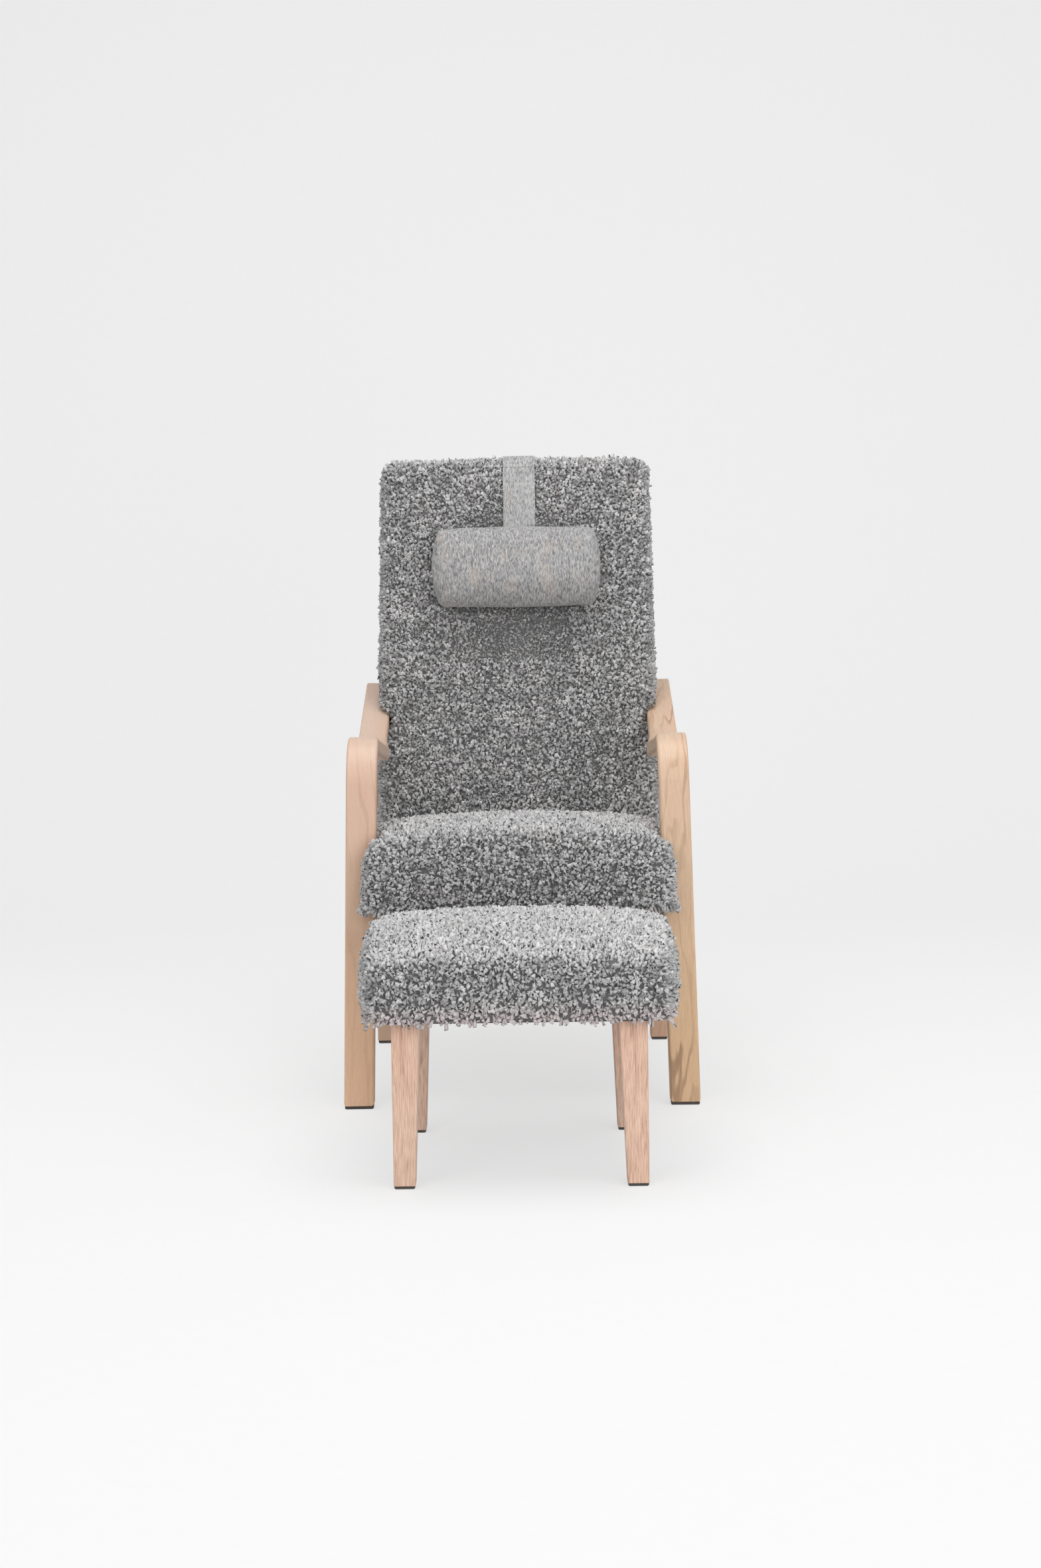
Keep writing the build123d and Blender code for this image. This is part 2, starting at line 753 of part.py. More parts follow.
# Sinuous springs across the seat frame, each one zigzag wire, held in clips at both ends
spring_plane = seat_plane.offset(seat_frame_thickness + clip_base + spring_wire + bolt_fit)
spring_start = seat_window_front - clip_depth
spring_pitch = (seat_window_back - seat_window_front + 2 * clip_depth) / (spring_runs - 1)
spring_sides = [spring_spacing * (place - (spring_count - 1) / 2) for place in range(spring_count)]
with BuildPart() as seat_springs:
    for side in spring_sides:
        with BuildLine(spring_plane) as zigzag:
            for run in range(spring_runs):
                along = spring_start + run * spring_pitch
                way = 1 if run % 2 == 0 else -1
                Line((side - way * spring_run / 2, along), (side + way * spring_run / 2, along))
                if run < spring_runs - 1:
                    ThreePointArc(
                        (side + way * spring_run / 2, along),
                        (side + way * (spring_run + spring_pitch) / 2, along + spring_pitch / 2),
                        (side + way * spring_run / 2, along + spring_pitch),
                    )
        wire = zigzag.wires()[0]
        with BuildSketch(Plane(origin=wire @ 0, z_dir=wire % 0)) as wire_end:
            Circle(spring_wire)
        sweep(wire_end.sketch, path=wire)
seat_springs.part.label = "seat_springs"

clip_height = 2 * (clip_base + spring_wire + bolt_fit)
clip_rows = (spring_start, spring_start + (spring_runs - 1) * spring_pitch)
with BuildPart() as spring_clips:
    with BuildSketch(seat_plane.offset(seat_frame_thickness)):
        with Locations([(side, along) for side in spring_sides for along in clip_rows]):
            Rectangle(clip_width, clip_depth)
    extrude(amount=clip_height)
    clip_bores = [
        Plane(origin=spring_plane.from_local_coords(Vector(side, along, 0)), z_dir=(1, 0, 0))
        for side in spring_sides
        for along in clip_rows
    ]
    drill(clip_bores, spring_wire + bolt_fit, clip_width, both=True)
spring_clips.part.label = "spring_clips"

# Seat filling, lying on the frame and hollowed underneath for the springs
spring_room = (spring_run + spring_pitch) / 2 + 2 * spring_wire
with BuildPart() as seat_foam:
    add(seat_under_fleece)
    split(bisect_by=seat_plane.offset(seat_frame_thickness + ease), keep=Keep.TOP)
    with BuildSketch(seat_plane.offset(seat_frame_thickness)):
        with Locations((0, sum(clip_rows) / 2)):
            Rectangle(2 * (spring_sides[-1] + spring_room), clip_rows[1] - clip_rows[0] + 2 * clip_depth)
    extrude(amount=clip_height + ease, mode=Mode.SUBTRACT)
seat_foam.part.label = "seat_foam"

# Fleece cover of the seat: front, sides and top, open underneath
seat_forms = [seat_form(inset) for inset in (0, pile)]
with BuildPart() as seat_fleece_cover:
    add(seat_forms[0])
    add(seat_forms[1], mode=Mode.SUBTRACT)
seat_fleece_cover.part.label = "seat_fleece_cover"

with BuildPart() as seat_dust_cloth:
    with BuildSketch(seat_plane):
        with Locations((0, (seat_depth - nose_reach) / 2)):
            Rectangle(2 * seat_half_width, seat_depth + nose_reach)
    extrude(amount=-dust_cloth)
    add(seat_under_fleece, mode=Mode.INTERSECT)
    drill(seat_bolt_places, bolt_radius + bolt_fit, -cross_height - overrun)
seat_dust_cloth.part.label = "seat_dust_cloth"

# Back frame: two stiles and three rails, its foot bare where it meets the rear cross rail
back_under_fleece = back_form(pile + ease)
low_window_half = back_half_low - pile - back_stile
high_window_half = back_half_top - pile - back_stile
low_head = back_mid_rail - back_rail_width / 2
high_foot = back_mid_rail + back_rail_width / 2
high_head = back_length - back_top_round - back_rail_width
windows = ((low_window_half, back_foot_rail, low_head), (high_window_half, high_foot, high_head))
band_rows = (
    (low_window_half, back_start, low_head, band_count_low),
    (high_window_half, high_foot, high_head, band_count_high),
)
with BuildPart() as back_frame:
    with BuildSketch(along_back(frame_rear)):
        with Locations((0, (back_length - back_top_round) / 2)):
            Rectangle(2 * back_half_wing, back_length - back_top_round)
        for half, foot, head in windows:
            with Locations((0, (foot + head) / 2)):
                Rectangle(2 * half, head - foot, mode=Mode.SUBTRACT)
    extrude(amount=back_frame_thickness)
    add(back_under_fleece, mode=Mode.INTERSECT)
    drill(back_bolt_places, bolt_radius + bolt_fit, -back_bolt_length - overrun)
back_frame.part.label = "back_frame"

# Elastic bands stapled across the front of the back frame
with BuildPart() as back_webbing:
    for half, foot, head, count in band_rows:
        spacing = (head - foot) / count
        with BuildSketch(along_back(frame_front)):
            with Locations([(0, foot + spacing * (place + 0.5)) for place in range(count)]):
                Rectangle(2 * (half + band_grip), band_width)
        extrude(amount=band_thickness)
back_webbing.part.label = "back_webbing"

with BuildPart() as back_foam:
    add(back_under_fleece)
    split(bisect_by=along_back(frame_front - band_thickness - ease), keep=Keep.TOP)
    split(bisect_by=across_back(back_start), keep=Keep.TOP)
back_foam.part.label = "back_foam"

# Fleece cover of the back: front, sides, top and the undersides of the wings, open behind
back_forms = [back_form(inset) for inset in (0, pile)]
with BuildPart() as back_fleece_cover:
    add(back_forms[0])
    add(back_forms[1], mode=Mode.SUBTRACT)
back_fleece_cover.part.label = "back_fleece_cover"

# Woven panel that closes the back behind
with BuildPart() as back_rear_panel:
    with BuildSketch(along_back(back_depth)):
        with Locations((0, (panel_foot + back_length - back_top_round) / 2)):
            Rectangle(2 * back_half_wing, back_length - back_top_round - panel_foot)
    extrude(amount=cloth)
    add(back_under_fleece, mode=Mode.INTERSECT)
back_rear_panel.part.label = "back_rear_panel"

back_bolt = bolt(back_bolt_length, bolt_radius, bolt_head_radius, bolt_head_height)
with BuildPart() as back_bolts:
    for place in back_bolt_places:
        add(place.location * back_bolt)
back_bolts.part.label = "back_bolts"

with BuildPart() as back_nuts:
    for place in back_bolt_places:
        with BuildSketch(place.offset(nut_height - back_bolt_length)) as nut:
            RegularPolygon(bolt_head_radius, 6)
        extrude(nut.sketch, amount=-nut_height)
    drill(back_bolt_places, bolt_radius + bolt_fit, -back_bolt_length - overrun)
back_nuts.part.label = "back_nuts"

# Glides under the chair's legs, nailed on
chair_glide_sizes = (
    (front_glide_centre, arm_width, arm_board, toe_out),
    (rear_glide_centre, rear_leg_width, rear_foot_depth, 0),
)
with BuildPart() as chair_glides:
    for side in (-1, 1):
        for centre, width, depth, turn in chair_glide_sizes:
            with BuildSketch(glide_plane(centre, side, 0)) as plate:
                Rectangle(width - 2 * glide_inset, depth - 2 * glide_inset, rotation=-side * turn)
            extrude(plate.sketch, amount=glide_height)
    chamfer(chair_glides.faces().filter_by(Axis.Z).group_by(Axis.Z)[0].edges(), glide_chamfer)
    pin_planes = [
        glide_plane(centre, side, glide_height / 2)
        for side in (-1, 1)
        for centre, width, depth, turn in chair_glide_sizes
    ]
    drill(pin_planes, glide_pin_radius + bolt_fit, glide_height)
chair_glides.part.label = "chair_glides"

with BuildPart() as chair_glide_pins:
    for place in pin_planes:
        with BuildSketch(place) as pin:
            Circle(glide_pin_radius)
        extrude(pin.sketch, amount=glide_height / 2 + glide_pin_length - bolt_fit)
chair_glide_pins.part.label = "chair_glide_pins"

# Neck pillow: a woven wrap with a domed panel sewn into each end, round its filling
pillow_form = [
    [pillow_wrap_form(inset), pillow_cap_form(-1, inset), pillow_cap_form(1, inset)]
    for inset in (0, cloth, cloth + ease)
]
with BuildPart() as pillow_wrap:
    add(pillow_form[0][0])
    add(pillow_form[1][0], mode=Mode.SUBTRACT)
pillow_wrap.part.label = "pillow_wrap"

with BuildPart() as pillow_end_panels:
    add(pillow_form[0][1:])
    add(pillow_form[1][1:], mode=Mode.SUBTRACT)
pillow_end_panels.part.label = "pillow_end_panels"

with BuildPart() as pillow_filling:
    add(pillow_form[2])
pillow_filling.part.label = "pillow_filling"

# Strap from the pillow over the top edge of the back and down behind it
strap_turn = back_length - back_top_round
strap_foot = pillow_up_back + pillow_half_height * pillow_rear_share
with BuildPart() as strap_front_run:
    with BuildSketch(along_back(-back_crown - strap_gap)):
        with Locations((strap_off_centre, (strap_foot + strap_turn) / 2)):
            Rectangle(strap_width, strap_turn - strap_foot)
    extrude(amount=strap_thickness)
    add(pillow_form[0][0], mode=Mode.SUBTRACT)
strap_front_run.part.label = "strap_front_run"

with BuildPart() as strap_top_run:
    with BuildSketch(beside_back(strap_off_centre - strap_width / 2)):
        with BuildLine():
            inner_turn = back_top_round + strap_gap
            outer_turn = inner_turn + strap_thickness
            front_turn = (strap_turn, back_crown - back_top_round)
            rear_turn = (strap_turn, back_top_round - back_depth)
            inner_front = CenterArc(front_turn, inner_turn, 0, 90)
            inner_rear = CenterArc(rear_turn, inner_turn, 270, 90)
            outer_front = CenterArc(front_turn, outer_turn, 0, 90)
            outer_rear = CenterArc(rear_turn, outer_turn, 270, 90)
            Line(inner_front @ 0, inner_rear @ 1)
            Line(outer_front @ 0, outer_rear @ 1)
            Line(inner_front @ 1, outer_front @ 1)
            Line(inner_rear @ 0, outer_rear @ 0)
        make_face()
    extrude(amount=strap_width)
strap_top_run.part.label = "strap_top_run"

with BuildPart() as strap_rear_run:
    with BuildSketch(along_back(back_depth + strap_gap)):
        with Locations((strap_off_centre, strap_turn - pouch_drop / 2)):
            Rectangle(strap_width, pouch_drop)
    extrude(amount=-strap_thickness)
strap_rear_run.part.label = "strap_rear_run"

# Counterweight: a steel bar in a woven pouch at the strap's other end
pouch_middle = (strap_off_centre, strap_turn - pouch_drop - pouch_height / 2)
with BuildPart() as counterweight_pouch:
    with BuildSketch(along_back(back_depth + strap_gap)):
        with Locations(pouch_middle):
            Rectangle(pouch_width, pouch_height)
    extrude(amount=-pouch_depth)
    fillet(counterweight_pouch.faces().sort_by(Axis(back_origin, back_rear))[-1].edges(), pouch_round)
    with BuildSketch(along_back(back_depth + strap_gap + cloth)):
        with Locations(pouch_middle):
            Rectangle(pouch_width - 2 * pouch_round, pouch_height - 2 * pouch_round)
    extrude(amount=2 * cloth - pouch_depth, mode=Mode.SUBTRACT)
counterweight_pouch.part.label = "counterweight_pouch"

with BuildPart() as counterweight_bar:
    with BuildSketch(along_back(back_depth + strap_gap + cloth + ease)):
        with Locations(pouch_middle):
            Rectangle(pouch_width - 2 * pouch_round - 2 * ease, pouch_height - 2 * pouch_round - 2 * ease)
    extrude(amount=2 * cloth + 2 * ease - pouch_depth)
counterweight_bar.part.label = "counterweight_bar"

# Footstool frame: a ring with a block in each corner for the legs
stool_window = (
    2 * (stool_half_width - pile - ease - stool_member),
    stool_depth - 2 * (pile + ease + stool_member),
)
stool_corners = [(side, way) for side in (-1, 1) for way in (-1, 1)]
leg_centre = (stool_leg_outer - stool_leg_top / 2, stool_depth / 2 - stool_leg_inset - stool_leg_top / 2)
stool_bolt_places = [
    Plane(origin=(side * leg_centre[0], stool_middle + way * leg_centre[1], stool_under), z_dir=(0, 0, 1))
    for side, way in stool_corners
]
stool_under_fleece = stool_form(pile + ease)
with BuildPart() as stool_frame:
    with BuildSketch(Plane.XY.offset(stool_under)):
        with Locations((0, stool_middle)):
            Rectangle(2 * (stool_half_width + stool_belly), stool_depth)
            Rectangle(*stool_window, mode=Mode.SUBTRACT)
    extrude(amount=stool_frame_height)
    add(stool_under_fleece, mode=Mode.INTERSECT)
stool_frame.part.label = "stool_frame"

with BuildPart() as stool_corner_blocks:
    for side, way in stool_corners:
        corner_x = side * stool_window[0] / 2
        corner_y = stool_middle + way * stool_window[1] / 2
        with BuildSketch(Plane.XY.offset(stool_under)) as block:
            with BuildLine():
                Polyline(
                    (corner_x, corner_y),
                    (corner_x - side * stool_block, corner_y),
                    (corner_x - side * stool_block, corner_y - way * stool_block / 2),
                    (corner_x - side * stool_block / 2, corner_y - way * stool_block),
                    (corner_x, corner_y - way * stool_block),
                    close=True,
                )
            make_face()
        extrude(block.sketch, amount=stool_frame_height)
    drill(stool_bolt_places, stool_bolt_radius + bolt_fit, stool_bolt_length - stool_bolt_in_leg)
stool_corner_blocks.part.label = "stool_corner_blocks"

# Bands across the footstool's frame and, over them, bands along it
with BuildPart() as stool_webbing:
    frame_top = stool_under + stool_frame_height
    with BuildSketch(Plane.XY.offset(frame_top)):
        with Locations((0, stool_middle)):
            with GridLocations(0, stool_window[1] / stool_bands_across, 1, stool_bands_across):
                Rectangle(stool_window[0] + 2 * band_grip, band_width)
    extrude(amount=band_thickness)
    with BuildSketch(Plane.XY.offset(frame_top + band_thickness)):
        with Locations((0, stool_middle)):
            with GridLocations(stool_window[0] / stool_bands_along, 0, stool_bands_along, 1):
                Rectangle(band_width, stool_window[1] + 2 * band_grip)
    extrude(amount=band_thickness)
stool_webbing.part.label = "stool_webbing"

with BuildPart() as stool_foam:
    add(stool_under_fleece)
    split(bisect_by=Plane.XY.offset(frame_top + 2 * band_thickness + ease), keep=Keep.TOP)
stool_foam.part.label = "stool_foam"

stool_forms = [stool_form(inset) for inset in (0, pile)]
with BuildPart() as stool_fleece_cover:
    add(stool_forms[0])
    add(stool_forms[1], mode=Mode.SUBTRACT)
stool_fleece_cover.part.label = "stool_fleece_cover"


def stool_leg(side, way):
    """Tapered leg: its two outer faces upright, its two inner faces drawn in towards the foot."""
    foot_x = side * (stool_leg_outer - stool_leg_foot / 2)
    foot_y = stool_middle + way * (stool_depth / 2 - stool_leg_inset - stool_leg_foot / 2)
    with BuildPart() as leg:
        with BuildSketch(Plane.XY.offset(stool_glide_height)):
            with Locations((foot_x, foot_y)):
                Rectangle(stool_leg_foot, stool_leg_foot)
        with BuildSketch(Plane.XY.offset(stool_under)):
            with Locations((side * leg_centre[0], stool_middle + way * leg_centre[1])):
                Rectangle(stool_leg_top, stool_leg_top)
        loft()
        fillet(leg.edges().filter_by(Axis.X, reverse=True).filter_by(Axis.Y, reverse=True), edge_round / 2)
        drill(stool_bolt_places, stool_bolt_radius + bolt_fit, -stool_bolt_in_leg)
        drill(
            [Plane(origin=(foot_x, foot_y, stool_glide_height), z_dir=(0, 0, 1))],
            glide_pin_radius + bolt_fit,
            glide_pin_length,
        )
    return leg


stool_leg_front_left = stool_leg(-1, -1)
stool_leg_front_left.part.label = "stool_leg_front_left"
stool_leg_front_right = stool_leg(1, -1)
stool_leg_front_right.part.label = "stool_leg_front_right"
stool_leg_rear_left = stool_leg(-1, 1)
stool_leg_rear_left.part.label = "stool_leg_rear_left"
stool_leg_rear_right = stool_leg(1, 1)
stool_leg_rear_right.part.label = "stool_leg_rear_right"
stool_legs = (stool_leg_front_left, stool_leg_front_right, stool_leg_rear_left, stool_leg_rear_right)

with BuildPart() as stool_dust_cloth:
    with BuildSketch(Plane.XY.offset(stool_under)):
        with Locations((0, stool_middle)):
            Rectangle(2 * (stool_half_width + stool_belly), stool_depth)
        with Locations([(place.origin.X, place.origin.Y) for place in stool_bolt_places]):
            Rectangle(stool_leg_top + 2 * ease, stool_leg_top + 2 * ease, mode=Mode.SUBTRACT)
    extrude(amount=-dust_cloth)
    add(stool_under_fleece, mode=Mode.INTERSECT)
stool_dust_cloth.part.label = "stool_dust_cloth"

with BuildPart() as stool_leg_bolts:
    for place in stool_bolt_places:
        with BuildSketch(place.offset(bolt_fit - stool_bolt_in_leg)) as shank:
            Circle(stool_bolt_radius)
        extrude(shank.sketch, amount=stool_bolt_length - 2 * bolt_fit)
stool_leg_bolts.part.label = "stool_leg_bolts"

stool_foot = (
    stool_leg_outer - stool_leg_foot / 2,
    stool_depth / 2 - stool_leg_inset - stool_leg_foot / 2,
)
stool_pin_planes = [
    Plane(
        origin=(side * stool_foot[0], stool_middle + way * stool_foot[1], stool_glide_height / 2),
        z_dir=(0, 0, 1),
    )
    for side, way in stool_corners
]
with BuildPart() as stool_glides:
    for place in stool_pin_planes:
        with BuildSketch(place.offset(-stool_glide_height / 2)) as plate:
            Rectangle(stool_leg_foot - glide_inset, stool_leg_foot - glide_inset)
        extrude(plate.sketch, amount=stool_glide_height)
    chamfer(stool_glides.faces().filter_by(Axis.Z).group_by(Axis.Z)[0].edges(), glide_chamfer)
    drill(stool_pin_planes, glide_pin_radius + bolt_fit, stool_glide_height)
stool_glides.part.label = "stool_glides"

with BuildPart() as stool_glide_pins:
    for place in stool_pin_planes:
        with BuildSketch(place) as pin:
            Circle(glide_pin_radius)
        extrude(pin.sketch, amount=stool_glide_height / 2 + glide_pin_length - bolt_fit)
stool_glide_pins.part.label = "stool_glide_pins"

# The chair and its footstool, centred together on the origin
pieces = [
    arm_right,
    arm_left,
    rear_leg_right,
    rear_leg_left,
    side_rail_right,
    side_rail_left,
    rail_dowels,
    arm_dowels,
    front_cross_rail,
    rear_cross_rail,
    rail_bolts,
    barrel_nuts,
    seat_frame,
    seat_bolts,
    seat_springs,
    spring_clips,
    seat_foam,
    seat_fleece_cover,
    seat_dust_cloth,
    back_frame,
    back_webbing,
    back_foam,
    back_fleece_cover,
    back_rear_panel,
    back_bolts,
    back_nuts,
    chair_glides,
    chair_glide_pins,
    pillow_wrap,
    pillow_end_panels,
    pillow_filling,
    strap_front_run,
    strap_top_run,
    strap_rear_run,
    counterweight_pouch,
    counterweight_bar,
    stool_frame,
    stool_corner_blocks,
    stool_webbing,
    stool_foam,
    stool_fleece_cover,
    stool_dust_cloth,
    *stool_legs,
    stool_leg_bolts,
    stool_glides,
    stool_glide_pins,
]
boxes = [piece.part.bounding_box() for piece in pieces]
set_middle = (min(box.min.Y for box in boxes) + max(box.max.Y for box in boxes)) / 2
for piece in pieces:
    placed = Location((0, -set_middle, 0)) * piece.part
    placed.label = piece.part.label
    export_step(placed, f"parts/{placed.label}.step")
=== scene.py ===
from math import cos, pi, radians, sin

import bmesh
import bpy
import numpy as np
from mathutils import Matrix, Vector, noise
from mathutils.bvhtree import BVHTree


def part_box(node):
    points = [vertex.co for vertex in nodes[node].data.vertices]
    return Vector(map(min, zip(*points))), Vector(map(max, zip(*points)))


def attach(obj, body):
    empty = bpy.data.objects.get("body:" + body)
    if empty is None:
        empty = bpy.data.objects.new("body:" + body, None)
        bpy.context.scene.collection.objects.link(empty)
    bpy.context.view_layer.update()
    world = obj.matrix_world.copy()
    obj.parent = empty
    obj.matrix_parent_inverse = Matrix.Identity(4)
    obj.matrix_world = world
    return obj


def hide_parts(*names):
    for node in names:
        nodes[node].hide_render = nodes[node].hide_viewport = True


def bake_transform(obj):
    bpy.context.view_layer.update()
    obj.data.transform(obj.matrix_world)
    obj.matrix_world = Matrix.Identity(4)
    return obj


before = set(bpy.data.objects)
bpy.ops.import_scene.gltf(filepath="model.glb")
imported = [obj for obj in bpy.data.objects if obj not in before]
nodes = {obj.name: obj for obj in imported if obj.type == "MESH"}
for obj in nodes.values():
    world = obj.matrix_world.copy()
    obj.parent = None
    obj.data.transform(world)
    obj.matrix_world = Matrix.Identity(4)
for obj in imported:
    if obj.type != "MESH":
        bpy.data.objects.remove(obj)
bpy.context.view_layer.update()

# The studio: a camera at sitting height, 3.7 m in front of the chair, looking slightly down,
# over a pale floor that sweeps up into a pale wall, under broad soft lamps.
camera = bpy.data.objects.new("studio_camera", bpy.data.cameras.new("studio_camera"))
bpy.context.scene.collection.objects.link(camera)
bpy.context.scene.camera = camera
camera.data.sensor_fit = "AUTO"
camera.data.sensor_width = 36
camera.data.lens = 50.01
pitch, yaw, roll = radians(4.5), radians(-0.23), radians(0.86)
ahead = Vector((sin(yaw) * cos(pitch), cos(yaw) * cos(pitch), -sin(pitch)))
level = Vector((cos(yaw), -sin(yaw), 0))
upward = level.cross(ahead)
right_edge = level * cos(roll) - upward * sin(roll)
top_edge = level * sin(roll) + upward * cos(roll)
tripod = Vector((0.0197, -3.7453, 0.843))
camera.matrix_world = Matrix(
    [
        (right_edge.x, top_edge.x, -ahead.x, tripod.x),
        (right_edge.y, top_edge.y, -ahead.y, tripod.y),
        (right_edge.z, top_edge.z, -ahead.z, tripod.z),
        (0, 0, 0, 1),
    ]
)

bpy.context.scene.view_settings.view_transform = "Standard"


def softbox(name, place, aim, size, power):
    """A square lamp on a stand, turned to the point it is aimed at."""
    lamp = bpy.data.lights.new(name, "AREA")
    lamp.shape = "SQUARE"
    lamp.size = size
    lamp.energy = power
    stand = bpy.data.objects.new(name, lamp)
    stand.location = place
    stand.rotation_euler = (Vector(aim) - Vector(place)).to_track_quat("-Z", "Y").to_euler()
    bpy.context.scene.collection.objects.link(stand)


softbox("ceiling_softbox", (0.1, -0.5, 3.4), (0, 0.1, 0.4), 2.6, 58)
softbox("front_softbox", (-1.9, -3.6, 2.2), (0, 0, 0.6), 2.2, 32)
softbox("low_softbox", (1.3, -4.3, 0.8), (0, 0, 0.35), 1.8, 50)
softbox("side_softbox", (2.4, -2.4, 1.9), (0, 0, 0.6), 1.8, 14)

world = bpy.data.worlds.new("studio_air")
world.use_nodes = True
bpy.context.scene.world = world
world.node_tree.nodes["Background"].inputs["Color"].default_value = (1, 1, 1, 1)
world.node_tree.nodes["Background"].inputs["Strength"].default_value = 0.42

floor_front, floor_back, sweep_half_width = -7.0, 2.2, 9.0
sweep_radius, wall_top = 1.6, 6.0
sweep_profile = [(floor_front, 0.0), (floor_back, 0.0)]
for turned in range(10, 91, 10):
    behind = floor_back + sweep_radius * sin(radians(turned))
    sweep_profile.append((behind, sweep_radius - sweep_radius * cos(radians(turned))))
sweep_profile.append((floor_back + sweep_radius, wall_top))
sweep_points = []
for behind, height in sweep_profile:
    sweep_points += [(-sweep_half_width, behind, height), (sweep_half_width, behind, height)]
sweep_faces = []
for row in range(len(sweep_profile) - 1):
    sweep_faces.append((2 * row, 2 * row + 1, 2 * row + 3, 2 * row + 2))
sweep_mesh = bpy.data.meshes.new("studio_sweep")
sweep_mesh.from_pydata(sweep_points, [], sweep_faces)
for face in sweep_mesh.polygons:
    face.use_smooth = True
sweep = bpy.data.objects.new("studio_sweep", sweep_mesh)
bpy.context.scene.collection.objects.link(sweep)


# The side frames: each front leg and its armrest are one board of pale hardwood bent over at
# the hand, clear-lacquered, with a plain rear leg doweled up under the armrest.
class Measure:
    """A value on its way to a surface; arithmetic and comparisons on it add Math nodes."""

    def __init__(self, finish, socket):
        self.finish = finish
        self.socket = socket

    def worked(self, operation, *values):
        return self.finish.node("ShaderNodeMath", {"operation": operation}, dict(enumerate(values)))

    def __add__(self, other):
        return self.worked("ADD", self, other)

    def __radd__(self, other):
        return self.worked("ADD", other, self)

    def __sub__(self, other):
        return self.worked("SUBTRACT", self, other)

    def __rsub__(self, other):
        return self.worked("SUBTRACT", other, self)

    def __mul__(self, other):
        return self.worked("MULTIPLY", self, other)

    def __rmul__(self, other):
        return self.worked("MULTIPLY", other, self)

    def __gt__(self, other):
        return self.worked("GREATER_THAN", self, other)

    def __lt__(self, other):
        return self.worked("LESS_THAN", self, other)


class Finish:
    """One surface finish: a material whose nodes are all added by the method node()."""

    def __init__(self, name, **fixed):
        self.material = bpy.data.materials.new(name)
        self.material.use_nodes = True
        self.tree = self.material.node_tree
        self.shader = self.tree.nodes["Principled BSDF"]
        for socket, value in fixed.items():
            self.shader.inputs[socket.replace("_", " ")].default_value = value

    def node(self, kind, settings, sockets, output=0):
        """Adds a node: its settings first, then a value or a link for each socket named."""
        made = self.tree.nodes.new(kind)
        for setting, value in settings.items():
            setattr(made, setting, value)
        for socket, value in sockets.items():
            if isinstance(value, Measure):
                self.tree.links.new(value.socket, made.inputs[socket])
            elif isinstance(value, tuple) and len(made.inputs[socket].default_value) == 4:
                made.inputs[socket].default_value = (*value, 1)[:4]
            else:
                made.inputs[socket].default_value = value
        return Measure(self, made.outputs[output])

    def place(self):
        """The three coordinates of the point that is shaded, in metres."""
        coordinates = self.node("ShaderNodeTexCoord", {}, {}, "Object")
        return [self.node("ShaderNodeSeparateXYZ", {}, {0: coordinates}, axis) for axis in "XYZ"]

    def grains(self, x, y, z, detail=2.0, rough=0.5):
        """Cloudy noise, one cloud to a unit, from 0 to 1."""
        where = self.node("ShaderNodeCombineXYZ", {}, {"X": x, "Y": y, "Z": z})
        return self.node(
            "ShaderNodeTexNoise", {}, {"Vector": where, "Scale": 1.0, "Detail": detail, "Roughness": rough}
        )

    def spread(self, value, low, high, to_low=0.0, to_high=1.0):
        """The value stretched from one range to another, smoothly, and held there."""
        ends = {"From Min": low, "From Max": high, "To Min": to_low, "To Max": to_high}
        return self.node(
            "ShaderNodeMapRange", {"interpolation_type": "SMOOTHSTEP"}, {"Value": value, **ends}
        )

    def shades(self, share, first, second):
        """A colour between two colours."""
        return self.node("ShaderNodeMix", {"data_type": "RGBA"}, {0: share, 6: first, 7: second}, 2)

    def wave(self, along, pitch):
        """A sine wave of a pitch in metres along a length, from -1 to 1."""
        return self.node("ShaderNodeMath", {"operation": "SINE"}, {0: along * (2 * pi / pitch)})

    def greater(self, first, second):
        return self.node("ShaderNodeMath", {"operation": "MAXIMUM"}, {0: first, 1: second})

    def raised(self, height, depth, strength):
        """Relief of a depth in metres; height runs from 0 to 1."""
        return self.node("ShaderNodeBump", {}, {"Height": height, "Distance": depth, "Strength": strength})

    def dress(self, **varying):
        """Links each varying value to its socket of the surface and gives the material."""
        for socket, value in varying.items():
            self.tree.links.new(value.socket, self.shader.inputs[socket.replace("_", " ")])
        return self.material


